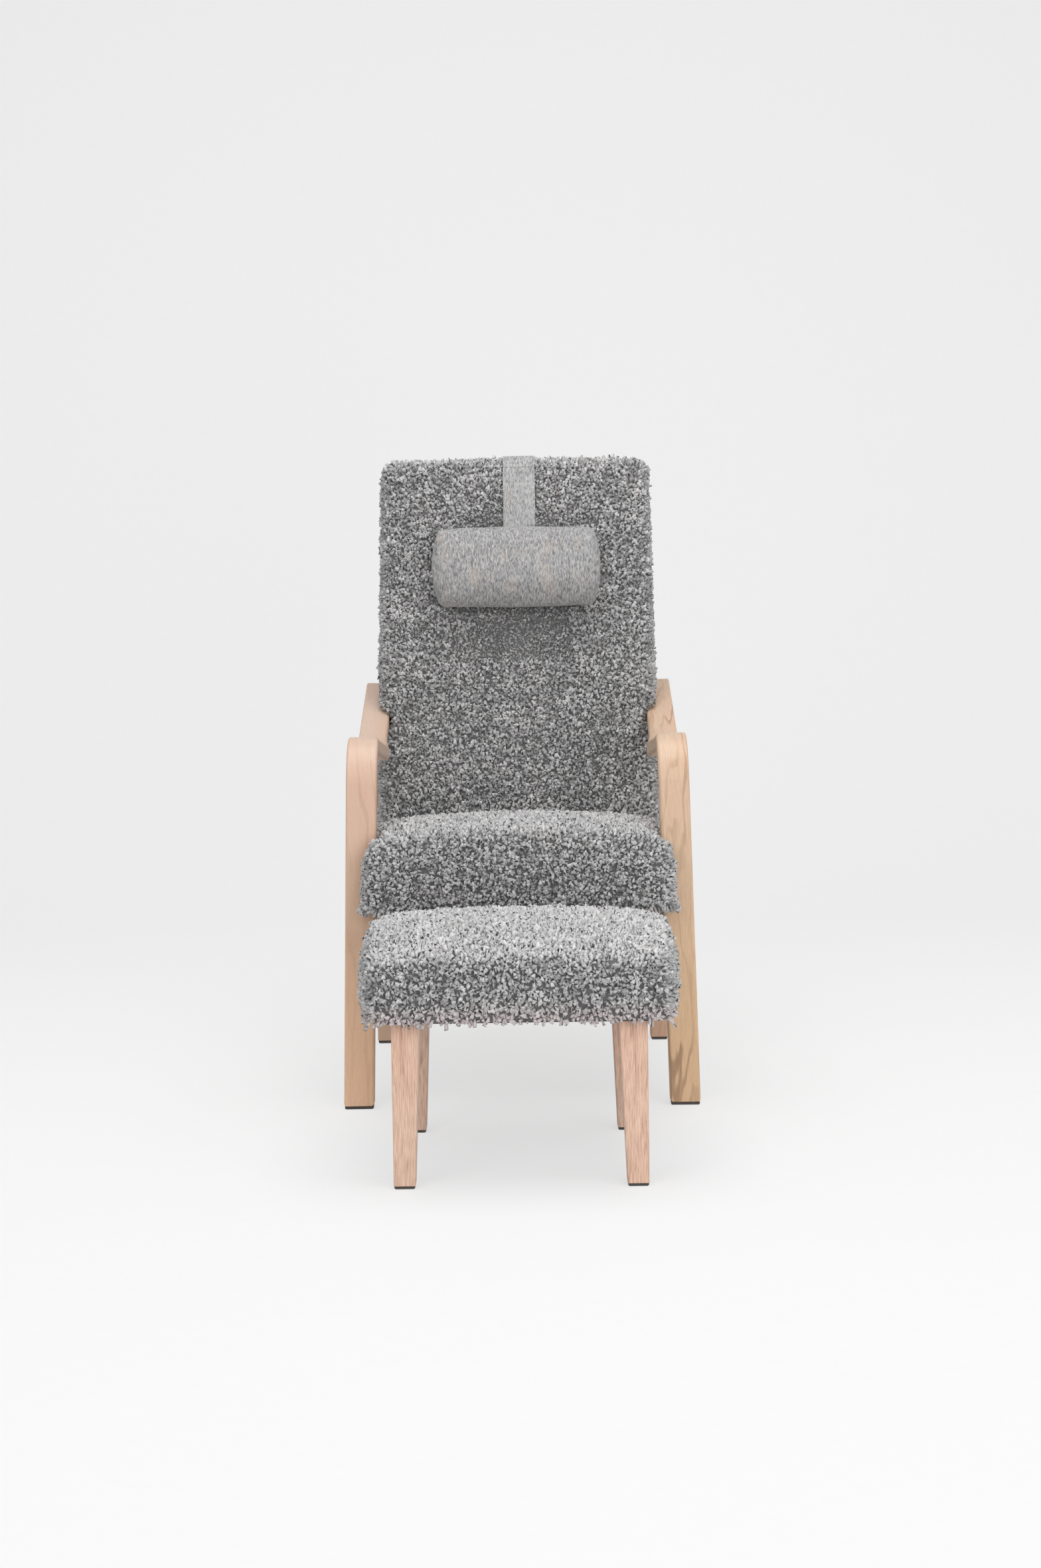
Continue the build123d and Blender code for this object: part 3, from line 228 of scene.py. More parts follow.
def lacquered_wood(name, pale, streak, route, seed, figure=1.0, line=0.5, fleck=0.30, foot=None):
    """Hardwood under clear lacquer, in another shade towards the foot where that is given.
    route gives the distance along the grain, across the board and down through it, in metres;
    figure bends the growth rings, line and fleck are the strength of rings and fibres."""
    wood = Finish(name, Coat_Weight=0.18, Coat_Roughness=0.32, Specular_IOR_Level=0.38)
    x, y, z = wood.place()
    along, across, down = route(wood, x, y, z)
    bend = wood.grains(along * 3.2 + seed, across * 16, down * 16, 3.0)
    rings = across * 62 + down * 95 + bend * (7.5 * figure)
    wave = wood.node("ShaderNodeMath", {"operation": "SINE"}, {0: rings * (2 * pi * 0.62)})
    ring = wood.spread(wave, 0.55, 1.0)
    fibre = wood.grains(along * 34 + seed, across * 900, down * 900, 4.0, 0.62)
    pore = wood.spread(wood.grains(along * 105, across * 1500 + seed, down * 1500, 2.0), 0.62, 0.74)
    cloud = wood.grains(along * 2.1, across * 9 + seed, down * 9, 2.0)
    share = ring * line * wood.spread(cloud, 0.32, 0.68) + wood.spread(fibre, 0.36, 0.72) * fleck
    flushed = (pale[0] * 1.02, pale[1] * 0.90, pale[2] * 0.86)
    ground = wood.shades(wood.spread(cloud, 0.35, 0.7), pale, flushed)
    if foot:
        ground = wood.shades(wood.spread(z, 0.62, 0.12), ground, foot)
    toned = wood.shades(share, ground, streak)
    pore_shade = (streak[0] * 0.62, streak[1] * 0.52, streak[2] * 0.45)
    marked = wood.shades(pore * 0.35, toned, pore_shade)
    return wood.dress(
        Base_Color=marked,
        Roughness=wood.spread(fibre, 0.3, 0.7, 0.42, 0.52),
        Normal=wood.raised(fibre * 0.6 - pore * 0.8, 0.00012, 0.5),
    )


# The bent board is followed from the floor up its front face, round the bend and back along
# the armrest, which falls to a dip and rises again, so that the grain turns with it.
board_front = -0.0783
bend_radius, bend_height = 0.075, 0.5587
bend_end, arm_start = 0.0104, 0.601
hand_height, hand_slope = 0.645, 0.1403
dip_back, dip_height, tail_slope = 0.335, 0.598, 0.3284


def round_the_bend(wood, x, y, z):
    """The way of the grain in a bent board: up the leg, round the bend, back along the arm."""
    back = y - board_front
    over = z - bend_height
    behind = back - bend_radius
    reach = wood.node("ShaderNodeMath", {"operation": "SQRT"}, {0: behind * behind + over * over})
    angle = wood.node("ShaderNodeMath", {"operation": "ARCTAN2"}, {0: over, 1: 0 - behind})
    falling = hand_height - back * hand_slope
    rising = dip_height + (back - dip_back) * tail_slope
    top = wood.node("ShaderNodeMath", {"operation": "SMOOTH_MAX"}, {0: falling, 1: rising, 2: 0.05})
    on_leg = over < 0
    on_arm = (behind > bend_end) * (1 - on_leg)
    on_bend = (1 - on_leg) * (1 - on_arm)
    along = on_leg * z + on_bend * (bend_height + angle * bend_radius) + on_arm * (arm_start + back)
    down = on_leg * back + on_bend * (bend_radius - reach) + on_arm * (top - z)
    return along, x, down


def upright_grain(wood, x, y, z):
    return z, x, y


def grain_front_to_back(wood, x, y, z):
    return y, z, x


def grain_side_to_side(wood, x, y, z):
    return x, z, y


def give(material, *names):
    """Puts one material on each of the nodes named."""
    for name in names:
        nodes[name].data.materials.clear()
        nodes[name].data.materials.append(material)


left_board_wood = lacquered_wood(
    "bent_board_left", (0.66, 0.49, 0.385), (0.52, 0.34, 0.235), round_the_bend, 3.1,
    figure=0.7, line=0.45, foot=(0.78, 0.505, 0.325)
)
right_board_wood = lacquered_wood(
    "bent_board_right", (0.68, 0.50, 0.36), (0.36, 0.21, 0.12), round_the_bend, 8.4,
    figure=1.25, line=0.8, foot=(0.74, 0.50, 0.30)
)
rear_leg_wood = lacquered_wood(
    "rear_leg_wood", (0.60, 0.42, 0.30), (0.45, 0.28, 0.18), upright_grain, 5.7
)
give(left_board_wood, "arm_left")
give(right_board_wood, "arm_right")
give(rear_leg_wood, "rear_leg_left", "rear_leg_right")

# The rails: two side rails doweled between the legs and two cross rails bolted between them,
# of the same lacquered hardwood; bolts, barrel nuts and springs are zinc-plated steel.
rail_pale, rail_streak = (0.62, 0.44, 0.32), (0.46, 0.29, 0.19)
side_rail_wood = lacquered_wood("side_rail_wood", rail_pale, rail_streak, grain_front_to_back, 1.9)
cross_rail_wood = lacquered_wood("cross_rail_wood", rail_pale, rail_streak, grain_side_to_side, 6.2)
dowel_wood = lacquered_wood(
    "dowel_beech", (0.66, 0.48, 0.32), (0.52, 0.35, 0.22), grain_front_to_back, 2.2
)
give(side_rail_wood, "side_rail_left", "side_rail_right")
give(cross_rail_wood, "front_cross_rail", "rear_cross_rail")
give(dowel_wood, "rail_dowels", "arm_dowels")

zinc = Finish("zinc_plate", Metallic=1.0)
x, y, z = zinc.place()
crystals = zinc.grains(x * 900, y * 900, z * 900, 3.0)
zinc.dress(
    Base_Color=zinc.shades(crystals, (0.50, 0.51, 0.52), (0.66, 0.66, 0.64)),
    Roughness=zinc.spread(crystals, 0.3, 0.7, 0.28, 0.44),
    Normal=zinc.raised(crystals, 0.00005, 0.4),
)
give(zinc.material, "rail_bolts", "barrel_nuts", "seat_bolts", "seat_springs")
give(zinc.material, "back_bolts", "back_nuts", "stool_leg_bolts")
give(zinc.material, "chair_glide_pins", "stool_glide_pins")


# The glides: moulded feet of dark brown plastic under every leg, nailed on; the springs are held
# in black plastic clips.
def moulded_plastic(name, shade, worn):
    plastic = Finish(name, Specular_IOR_Level=0.4)
    x, y, z = plastic.place()
    pitted = plastic.grains(x * 1300, y * 1300, z * 1300, 2.0)
    scuffed = plastic.spread(plastic.grains(x * 90, y * 90, z * 300, 3.0), 0.5, 0.75)
    return plastic.dress(
        Base_Color=plastic.shades(scuffed, shade, worn),
        Roughness=plastic.spread(scuffed, 0.0, 1.0, 0.42, 0.62),
        Normal=plastic.raised(pitted, 0.00008, 0.5),
    )


glide_plastic = moulded_plastic("glide_plastic", (0.050, 0.040, 0.034), (0.110, 0.094, 0.082))
clip_plastic = moulded_plastic("clip_plastic", (0.030, 0.030, 0.031), (0.062, 0.061, 0.060))
give(glide_plastic, "chair_glides", "stool_glides")
give(clip_plastic, "spring_clips")


# The frames under the upholstery: birch plywood for seat, back and footstool, with the veneers
# showing as fine lines on the cut edges, and glued corner blocks in the footstool.
def birch_plywood(name, pale, dark):
    ply = Finish(name, Specular_IOR_Level=0.3)
    x, y, z = ply.place()
    fibre = ply.grains(x * 420, y * 26, z * 420, 3.0, 0.6)
    figure = ply.grains(x * 22 + 4.0, y * 3.5, z * 22, 3.0)
    veneer = ply.wave(z, 0.0028)
    share = ply.spread(fibre, 0.3, 0.7) * 0.35 + ply.spread(figure, 0.4, 0.7) * 0.3
    share = share + ply.spread(veneer, 0.2, 0.9) * 0.25
    return ply.dress(
        Base_Color=ply.shades(share, pale, dark),
        Roughness=ply.spread(fibre, 0.3, 0.7, 0.55, 0.68),
        Normal=ply.raised(fibre, 0.0001, 0.5),
    )


plywood = birch_plywood("birch_plywood", (0.66, 0.49, 0.31), (0.43, 0.28, 0.16))
give(plywood, "seat_frame", "back_frame", "stool_frame", "stool_corner_blocks")


# Elastic bands stapled over the windows of the back's and the footstool's frames, and the thin
# black cloths stapled under the seat and the footstool to keep the dust out.
tilt = radians(4.0)
lean = radians(15.0)
back_up = Vector((0, sin(lean), cos(lean)))
back_rear = Vector((0, cos(lean), -sin(lean)))
seat_place = Matrix.Translation((0, board_front, 0.342)) @ Matrix.Rotation(-tilt, 4, "X")
back_place = Matrix.Translation((0, 0.3067, 0.255)) @ Matrix.Rotation(-lean, 4, "X")
stool_place = Matrix.Translation((0, -0.4108, 0.250))


def stapled_cloth(name, node, place, cuts, sag, way, material, body):
    """A taut cloth as the solid is cut, in small squares, that gives a little between its staples.
    cuts is the number of squares along each axis of place, sag the most it gives the way named."""
    shape = bmesh.new()
    shape.from_mesh(nodes[node].data)
    bmesh.ops.remove_doubles(shape, verts=shape.verts, dist=0.00002)
    inverse = place.inverted()
    spots = np.array([inverse @ vert.co for vert in shape.verts])
    low, high = spots.min(0), spots.max(0)
    for axis, count in cuts.items():
        facing = Vector((0, 0, 0))
        facing[axis] = 1
        for cut in range(1, count):
            at = Vector((0, 0, 0))
            at[axis] = low[axis] + (high[axis] - low[axis]) * cut / count
            bmesh.ops.bisect_plane(
                shape,
                geom=shape.verts[:] + shape.edges[:] + shape.faces[:],
                plane_co=place @ at,
                plane_no=place.to_3x3() @ facing,
            )
    for vert in shape.verts:
        here = inverse @ vert.co
        slack = 1.0
        for axis in cuts:
            share = (here[axis] - low[axis]) / (high[axis] - low[axis])
            slack *= max(0.0, 4 * share * (1 - share)) ** 0.6
        ripple = 0.8 + 0.2 * sin(here.x * 61 + here.z * 23 + here.y * 17)
        vert.co += Vector(way) * (sag * slack * ripple)
    area = sum(face.calc_area() for face in shape.faces) / 2
    mesh = bpy.data.meshes.new(name)
    shape.to_mesh(mesh)
    shape.free()
    cloth = bpy.data.objects.new(name, mesh)
    bpy.context.scene.collection.objects.link(cloth)
    mesh.materials.clear()
    mesh.materials.append(material)
    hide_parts(node)
    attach(cloth, body)


def plain_weave(name, pale, dark, thread, sheen):
    """Thin woven stuff with both sets of threads showing."""
    stuff = Finish(name, Roughness=0.86, Specular_IOR_Level=0.18, Sheen_Weight=sheen, Sheen_Roughness=0.5)
    x, y, z = stuff.place()
    warp, weft = stuff.wave(x, thread), stuff.wave(y + z, thread)
    worn = stuff.grains(x * 60, y * 60, z * 60, 3.0)
    share = stuff.spread(warp * weft, -0.8, 0.8) * 0.6 + worn * 0.4
    return stuff.dress(
        Base_Color=stuff.shades(share, dark, pale),
        Normal=stuff.raised(warp * weft * 0.5 + 0.5, thread * 0.12, 0.6),
    )


black_cloth = plain_weave("black_dust_cloth", (0.055, 0.055, 0.058), (0.018, 0.018, 0.020), 0.0012, 0.05)
elastic = plain_weave("elastic_webbing", (0.20, 0.19, 0.18), (0.075, 0.070, 0.066), 0.0024, 0.05)
down, up, forward = (0, 0, -1), (0, 0, 1), tuple(-back_rear)
dust_squares, dust_sag = {0: 14, 1: 14}, 0.0006
stapled_cloth(
    "seat_underside_cloth", "seat_dust_cloth", seat_place, dust_squares, dust_sag, down,
    black_cloth, "chair"
)
stapled_cloth(
    "stool_underside_cloth", "stool_dust_cloth", stool_place, dust_squares, dust_sag, down,
    black_cloth, "footstool"
)
stapled_cloth(
    "back_bands", "back_webbing", back_place, {0: 16}, 0.0, forward,
    elastic, "chair"
)
stapled_cloth(
    "stool_bands", "stool_webbing", stool_place, {0: 12, 1: 12}, 0.0, up,
    elastic, "footstool"
)


# The seat: foam over the sprung frame, in a cover of grey fleece with curly pile, drawn down
# round the front legs in a T. First the padded body under the pile, then its curls.
def points_of(mesh, what="co"):
    """One row for each corner of a mesh: its place, or its outward way."""
    flat = np.empty(len(mesh.vertices) * 3)
    mesh.vertices.foreach_get(what, flat)
    return flat.reshape(-1, 3)


def stuffed_body(name, covers, place, low, high, cell):
    """One closed body: copies of the covers and fillings, and a block that closes their hollow."""
    shell = bmesh.new()
    for node in covers:
        shell.from_mesh(nodes[node].data)
    size = Vector(high) - Vector(low)
    middle = (Vector(high) + Vector(low)) / 2
    bmesh.ops.create_cube(
        shell, size=1.0, matrix=place @ Matrix.Translation(middle) @ Matrix.Diagonal((*size, 1))
    )
    mesh = bpy.data.meshes.new(name)
    shell.to_mesh(mesh)
    shell.free()
    body = bpy.data.objects.new(name, mesh)
    bpy.context.scene.collection.objects.link(body)
    even = body.modifiers.new("even_mesh", "REMESH")
    even.mode = "VOXEL"
    even.voxel_size = cell
    graph = bpy.context.evaluated_depsgraph_get()
    remade = bpy.data.meshes.new_from_object(body.evaluated_get(graph))
    body.modifiers.remove(even)
    body.data = remade
    keep_outer_skin(body.data)
    return body


def keep_outer_skin(mesh):
    """Drops the islands of mesh that lie inside the largest one."""
    shell = bmesh.new()
    shell.from_mesh(mesh)
    shell.verts.ensure_lookup_table()
    seen = np.zeros(len(shell.verts), bool)
    islands = []
    for vert in shell.verts:
        if seen[vert.index]:
            continue
        seen[vert.index] = True
        island, front = [], [vert]
        while front:
            here = front.pop()
            island.append(here)
            for edge in here.link_edges:
                there = edge.other_vert(here)
                if not seen[there.index]:
                    seen[there.index] = True
                    front.append(there)
        islands.append(island)
    largest = max(islands, key=len)
    stray = [vert for island in islands if island is not largest for vert in island]
    bmesh.ops.delete(shell, geom=stray, context="VERTS")
    shell.to_mesh(mesh)
    shell.free()


def drawn_in(body, depth, flat_way):
    """Moves the skin inwards by a depth, except where it faces the flat way."""
    mesh = body.data
    spots, ways = points_of(mesh), points_of(mesh, "normal")
    facing = ways @ np.array(flat_way)
    share = np.clip((0.6 - facing) / 0.3, 0, 1)
    mesh.vertices.foreach_set("co", (spots - ways * (depth * share)[:, None]).ravel())
    mesh.update()
    return share


def filled_out(body, held, pressure, most):
    """Lets the filling press the cover out until it is taut, by no more than the most given."""
    grip = body.vertex_groups.new(name="held")
    for index, hold in enumerate(held):
        if hold > 0:
            grip.add([index], float(hold), "REPLACE")
    cover = body.modifiers.new("cover", "CLOTH")
    cover.settings.quality = 4
    cover.settings.mass = 0.3
    cover.settings.tension_stiffness = 12
    cover.settings.compression_stiffness = 12
    cover.settings.bending_stiffness = 1.5
    cover.settings.use_pressure = True
    cover.settings.uniform_pressure_force = pressure
    cover.settings.vertex_group_mass = "held"
    cover.settings.effector_weights.gravity = 0
    cover.collision_settings.use_collision = False
    settled = 20
    cover.point_cache.frame_start = 1
    cover.point_cache.frame_end = settled
    for moment in range(1, settled + 1):
        bpy.context.scene.frame_set(moment)
    graph = bpy.context.evaluated_depsgraph_get()
    pressed = body.evaluated_get(graph).to_mesh()
    rest, now = points_of(body.data), points_of(pressed)
    body.evaluated_get(graph).to_mesh_clear()
    body.modifiers.remove(cover)
    body.vertex_groups.remove(grip)
    moved = now - rest
    far = np.linalg.norm(moved, axis=1)
    moved *= np.minimum(1, most / np.maximum(far, 1e-9))[:, None]
    body.data.vertices.foreach_set("co", (rest + moved).ravel())
    body.data.update()
    bpy.context.scene.frame_set(1)


def nearness(solids, shift=(0, 0, 0)):
    """A search tree over meshes that the pile has to stay clear of."""
    trees = []
    for solid in solids:
        shell = bmesh.new()
        shell.from_mesh(solid.data)
        bmesh.ops.translate(shell, verts=shell.verts, vec=Vector(shift))
        trees.append(BVHTree.FromBMesh(shell))
        shell.free()
    return trees


lock_gap, lock_length, lock_height, lock_radius = 0.0047, 0.0074, 0.0068, 0.0036


def curly_pile(name, skin, flat_way, tall_way, painted_light_level, top_painted_light, seed, clear_of):
    """The pile on a skin: short bent locks of wool, rooted all over it, in one mesh. They stand
    up longest where the skin faces the tall way, are left out where it faces the flat way, and
    are painted paler where the skin faces up, as painted light from above. Each has two rings of three
    corners and a tip."""
    dice = np.random.default_rng(seed)
    mesh = skin.data
    mesh.calc_loop_triangles()
    spots, ways = points_of(mesh), points_of(mesh, "normal")
    corners = np.empty(len(mesh.loop_triangles) * 3, int)
    mesh.loop_triangles.foreach_get("vertices", corners)
    corners = corners.reshape(-1, 3)
    a, b, c = spots[corners[:, 0]], spots[corners[:, 1]], spots[corners[:, 2]]
    across = np.cross(b - a, c - a)
    area = np.linalg.norm(across, axis=1) / 2
    facing = (across / np.maximum(2 * area, 1e-12)[:, None]) @ np.array(flat_way)
    area[facing > 0.8] = 0
    count = int(area.sum() / lock_gap**2)
    steps = (np.arange(count) + dice.random(count)) / count * area.sum()
    chosen = np.minimum(np.searchsorted(np.cumsum(area), steps), len(area) - 1)
    u, v = dice.random(count), dice.random(count)
    over = u + v > 1
    u[over], v[over] = 1 - u[over], 1 - v[over]
    shares = np.stack([1 - u - v, u, v], 1)
    root = (spots[corners[chosen]] * shares[:, :, None]).sum(1)
    out = (ways[corners[chosen]] * shares[:, :, None]).sum(1)
    out /= np.linalg.norm(out, axis=1)[:, None]
    search, least_room, clearance, full_room = 0.02, 0.0022, 0.0008, 0.0082
    room = np.full(count, search)
    for place in range(count):
        for tree in clear_of:
            found = tree.find_nearest(Vector(root[place]), search)
            if found[0] is not None:
                room[place] = min(room[place], found[3])
    kept = room > least_room
    root, out, room = root[kept], out[kept], room[kept]
    count = len(root)
    low = np.clip((room - clearance) / full_room, 0.16, 1)
    tuft = np.array([noise.noise(Vector(spot) * 82.0) for spot in root])
    swirl = np.array([noise.noise(Vector(spot) * 55.0 + Vector((9, 4, 7))) for spot in root])
    aside = np.cross(out, np.where(np.abs(out[:, :1]) > 0.8, (0, 0, 1), (1, 0, 0)))
    aside /= np.linalg.norm(aside, axis=1)[:, None]
    along = np.cross(aside, out)
    length = lock_length * dice.uniform(0.6, 1.4, count)
    heading = swirl * 6 + dice.uniform(-pi, pi, count)
    curl = dice.choice((-1, 1), count) * dice.uniform(1.2, 3.2, count)
    tall = 1 + 0.35 * np.clip((out @ np.array(tall_way) - 0.15) / 0.4, 0, 1)
    lift = lock_height * (1 + 0.7 * tuft) * dice.uniform(0.45, 1.35, count) * low * tall
    thick = lock_radius * dice.uniform(0.6, 1.25, count) * np.sqrt(low)
    fringe = 0.003
    hang = fringe * np.clip((out @ np.array(flat_way) + 0.1) / 0.5, 0, 1) * low
    path = np.zeros((count, 3, 3))
    plan = np.zeros((count, 3))
    for ring in range(3):
        rise = (-0.0010, 1.0, 0.62)[ring] * (lift if ring else 1)
        path[:, ring] = root + plan + out * np.broadcast_to(rise, count)[:, None]
        path[:, ring] += np.array(flat_way) * (hang * ring / 2)[:, None]
        turn = heading + curl * ring
        stride = length * (0.62, 0.38, 0)[ring]
        plan = plan + (aside * np.cos(turn)[:, None] + along * np.sin(turn)[:, None]) * stride[:, None]
    path -= (plan * 0.35)[:, None]
    sense = np.gradient(path, axis=1)
    sense /= np.maximum(np.linalg.norm(sense, axis=2), 1e-9)[:, :, None]
    flank = np.cross(sense, out[:, None])
    flank /= np.maximum(np.linalg.norm(flank, axis=2), 1e-9)[:, :, None]
    crest = np.cross(flank, sense)
    girth = np.array((0.8, 1.0))[None, :, None] * thick[:, None, None]
    rings = []
    for side in range(3):
        angle = 2 * pi * side / 3 + pi / 2
        rings.append(path[:, :2] + (flank[:, :2] * cos(angle) + crest[:, :2] * sin(angle)) * girth)
    wool = np.concatenate([np.stack(rings, 2).reshape(count, 6, 3), path[:, 2:]], 1).reshape(-1, 3)
    start = np.arange(count)[:, None] * 7
    walls, tips = [], []
    for side in range(3):
        other = (side + 1) % 3
        walls.append(start + np.array([side, other, other + 3, side + 3]))
        tips.append(start + np.array([3 + side, 3 + other, 6]))
    walls = np.stack(walls, 1).reshape(-1, 4)
    tips = np.stack(tips, 1).reshape(-1, 3)
    pile = bpy.data.meshes.new(name)
    pile.vertices.add(len(wool))
    pile.vertices.foreach_set("co", wool.ravel())
    pile.loops.add(walls.size + tips.size)
    pile.loops.foreach_set("vertex_index", np.concatenate([walls.ravel(), tips.ravel()]))
    pile.polygons.add(len(walls) + len(tips))
    starts = np.concatenate([np.arange(len(walls)) * 4, walls.size + np.arange(len(tips)) * 3])
    pile.polygons.foreach_set("loop_start", starts)
    pile.update(calc_edges=True)
    pile.polygons.foreach_set("use_smooth", np.ones(len(pile.polygons), bool))
    height = pile.attributes.new("pile_height", "FLOAT", "POINT")
    # Painted shade at the root of each lock and painted light at its crest, laid along the lock.
    painted_root_shade_crest_light = np.array((0.0, 0.0, 0.0, 1.0, 1.0, 1.0, 0.7))
    # Painted light: each piece's pile has its own lightness level, paler on the seat and footstool than on
    # the back, standing in for the light on them; the clump noise adds a random tone.
    shade = painted_root_shade_crest_light[None] * np.clip(painted_light_level + 1.4 * tuft, 0.2, 1.1)[:, None]
    # Painted shade: locks with little room beside a neighbouring part are darker.
    shade = shade * np.clip(low, 0.6, 1)[:, None]
    # Painted light: where the skin faces up the locks are paler, standing in for light from above.
    top_painted_light_share = top_painted_light * np.clip((out[:, 2:] - 0.45) / 0.45, 0, 1)
    shade = shade * (1 - top_painted_light_share) + (0.75 + 0.5 * shade) * top_painted_light_share
    height.data.foreach_set("value", shade.astype(np.float32).ravel())
    pile.validate()
    piece = bpy.data.objects.new(name, pile)
    bpy.context.scene.collection.objects.link(piece)
    return piece


def wool(name, deep, pale, flush, blush_below):
    """Grey wool, with painted shade at the root of each lock and painted light at its crest; its natural
    pinkish cast shows in patches, and all along the lowest edge."""
    fleece = Finish(name, Roughness=0.92, Specular_IOR_Level=0.12, Sheen_Weight=0.22, Sheen_Roughness=0.6)
    x, y, z = fleece.place()
    # The pile's attribute: painted shade at the lock roots, painted light at the crests and on top, and a
    # random tone per clump.
    crest = fleece.node("ShaderNodeAttribute", {"attribute_name": "pile_height"}, {}, "Fac")
    patch = fleece.grains(x * 14, y * 14, z * 14, 3.0, 0.6)
    lock = fleece.grains(x * 110, y * 110, z * 110, 2.0)
    fibre = fleece.grains(x * 620, y * 620, z * 620, 2.0)
    share = crest * 0.58 + fleece.spread(lock, 0.3, 0.7) * 0.20 + fleece.spread(patch, 0.3, 0.7) * 0.10
    share = share + fleece.spread(fibre, 0.3, 0.7) * 0.12
    grey = fleece.shades(share, deep, pale)
    low_edge = fleece.spread(z, blush_below, blush_below - 0.03)
    cast = fleece.greater(fleece.spread(patch, 0.5, 0.78) * 0.4, low_edge)
    blushed = fleece.shades(cast * 0.55, grey, flush)
    return fleece.dress(Base_Color=blushed, Normal=fleece.raised(fibre, 0.0008, 0.7))


def backing(name, shade):
    """The knitted ground that the pile grows from, seen only between the locks; its dark grey is painted
    shade for the gaps between them.
    """
    ground = Finish(name, Roughness=0.95, Specular_IOR_Level=0.1)
    x, y, z = ground.place()
    knit = ground.grains(x * 700, y * 700, z * 700, 2.0)
    return ground.dress(
        Base_Color=ground.shades(knit, (shade * 0.7,) * 3, (shade * 1.25,) * 3),
        Normal=ground.raised(knit, 0.0004, 0.6),
    )


grey_wool = wool("grey_curly_wool", (0.135, 0.133, 0.132), (0.83, 0.825, 0.825), (0.72, 0.62, 0.61), 0.285)
# Painted shade: the ground's dark grey stands for the shadow in the gaps between the locks.
gap_shade_ground = backing("grey_fleece_ground", 0.15)
skin_cell, pile_room, cushion_pressure, cushion_swell, cushion_fill = 0.007, 0.0076, 3.0, 0.003, 0.85


def fleeced(body, flat_way, tall_way, painted_light_level, top_painted_light, seed, clear_of, rides, stands_for):
    """Puts the ground cloth, dark as painted shade, and the pile on a padded body, and says what it rides
    and replaces.
    """
    for face in body.data.polygons:
        face.use_smooth = True
    body.data.materials.append(gap_shade_ground)
    pile = curly_pile(body.name + "_pile", body, flat_way, tall_way, painted_light_level, top_painted_light, seed, clear_of)
    pile.data.materials.append(grey_wool)
    for piece in (body, pile):
        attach(piece, rides)
    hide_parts(*stands_for)


seat = stuffed_body(
    "seat_upholstery",
    ("seat_fleece_cover", "seat_foam", "seat_frame", "seat_dust_cloth"),
    seat_place,
    (-0.205, 0.030, 0.0005),
    (0.205, 0.412, 0.060),
    skin_cell,
)
under = tuple(-(seat_place.to_3x3() @ Vector((0, 0, 1))))
pinned = 1 - drawn_in(seat, pile_room, under)
filled_out(seat, pinned, cushion_pressure, cushion_swell)
side_frames = [nodes[node] for node in ("arm_left", "arm_right", "rear_leg_left", "rear_leg_right")]
rails = [nodes[node] for node in ("side_rail_left", "side_rail_right", "front_cross_rail")]
seat_neighbours = nearness(side_frames + rails + [nodes["back_fleece_cover"]])
# The seat's pile level is painted light, paler than the back's.
seat_painted_light_level, seat_seed = 0.86, 41
fleeced(
    seat, under, under, seat_painted_light_level, 0.0, seat_seed, seat_neighbours, "chair",
    ("seat_fleece_cover", "seat_foam")
)

# The back: foam over bands on a plywood frame, in the same fleece, wide between the legs and
# again above the armrests, with a notch on each side where the armrest passes.
back = stuffed_body(
    "back_upholstery",
    ("back_fleece_cover", "back_foam"),
    back_place,
    (-0.236, 0.030, 0.154),
    (0.236, 0.0865, 0.884),
    skin_cell,
)
rearward = tuple(back_rear)
pinned = 1 - drawn_in(back, pile_room, rearward)
filled_out(back, pinned, cushion_pressure, cushion_swell)
back_neighbours = nearness(side_frames + [seat, nodes["strap_front_run"], nodes["strap_top_run"]])
for slid in (-0.12, -0.06, 0.0, 0.07):
    back_neighbours += nearness([nodes["pillow_wrap"], nodes["pillow_end_panels"]], back_up * slid)
back_painted_light_level, back_seed = 0.64, 42
fleeced(
    back, rearward, tuple(back_up), back_painted_light_level, 0.0, back_seed, back_neighbours, "chair",
    ("back_fleece_cover", "back_foam")
)


# A woven panel stapled over the back's rear closes it behind. It is the pillow's heather-grey
# cloth: light and dark yarns twisted together, so that the grey is broken into short streaks.
def heather_cloth(name, seed, pale, dark):
    cloth = Finish(name, Roughness=0.88, Specular_IOR_Level=0.16, Sheen_Weight=0.18, Sheen_Roughness=0.5)
    x, y, z = cloth.place()
    yarn = cloth.grains(x * 680 + seed, y * 150, z * 150, 3.0, 0.62)
    slub = cloth.grains(x * 330, y * 90 + seed, z * 90, 3.0, 0.6)
    mottle = cloth.grains(x * 34, y * 22 + seed, z * 22, 3.0)
    share = cloth.spread(yarn, 0.34, 0.66) * 0.48 + cloth.spread(slub, 0.34, 0.66) * 0.34 + mottle * 0.18
    grey = cloth.shades(share, dark, pale)
    warm = cloth.spread(cloth.grains(x * 26 + 7.0, y * 18, z * 18, 3.0), 0.52, 0.72)
    cool = cloth.spread(cloth.grains(x * 30 + 21.0, y * 20, z * 20, 3.0), 0.54, 0.74)
    warmed = cloth.shades(warm * 0.28, grey, (0.50, 0.41, 0.34))
    flecked = cloth.shades(cool * 0.16, warmed, (0.34, 0.37, 0.43))
    relief = yarn * 0.7 + cloth.wave(x, 0.0011) * 0.15 + slub * 0.5
    return cloth.dress(Base_Color=flecked, Normal=cloth.raised(relief, 0.0006, 0.55))


panel_cloth = heather_cloth("panel_cloth", 11.0, (0.50, 0.495, 0.495), (0.15, 0.15, 0.155))
stapled_cloth(
    "rear_panel_cloth", "back_rear_panel", back_place, {0: 16, 2: 26}, 0.0008, forward,
    panel_cloth, "chair"
)

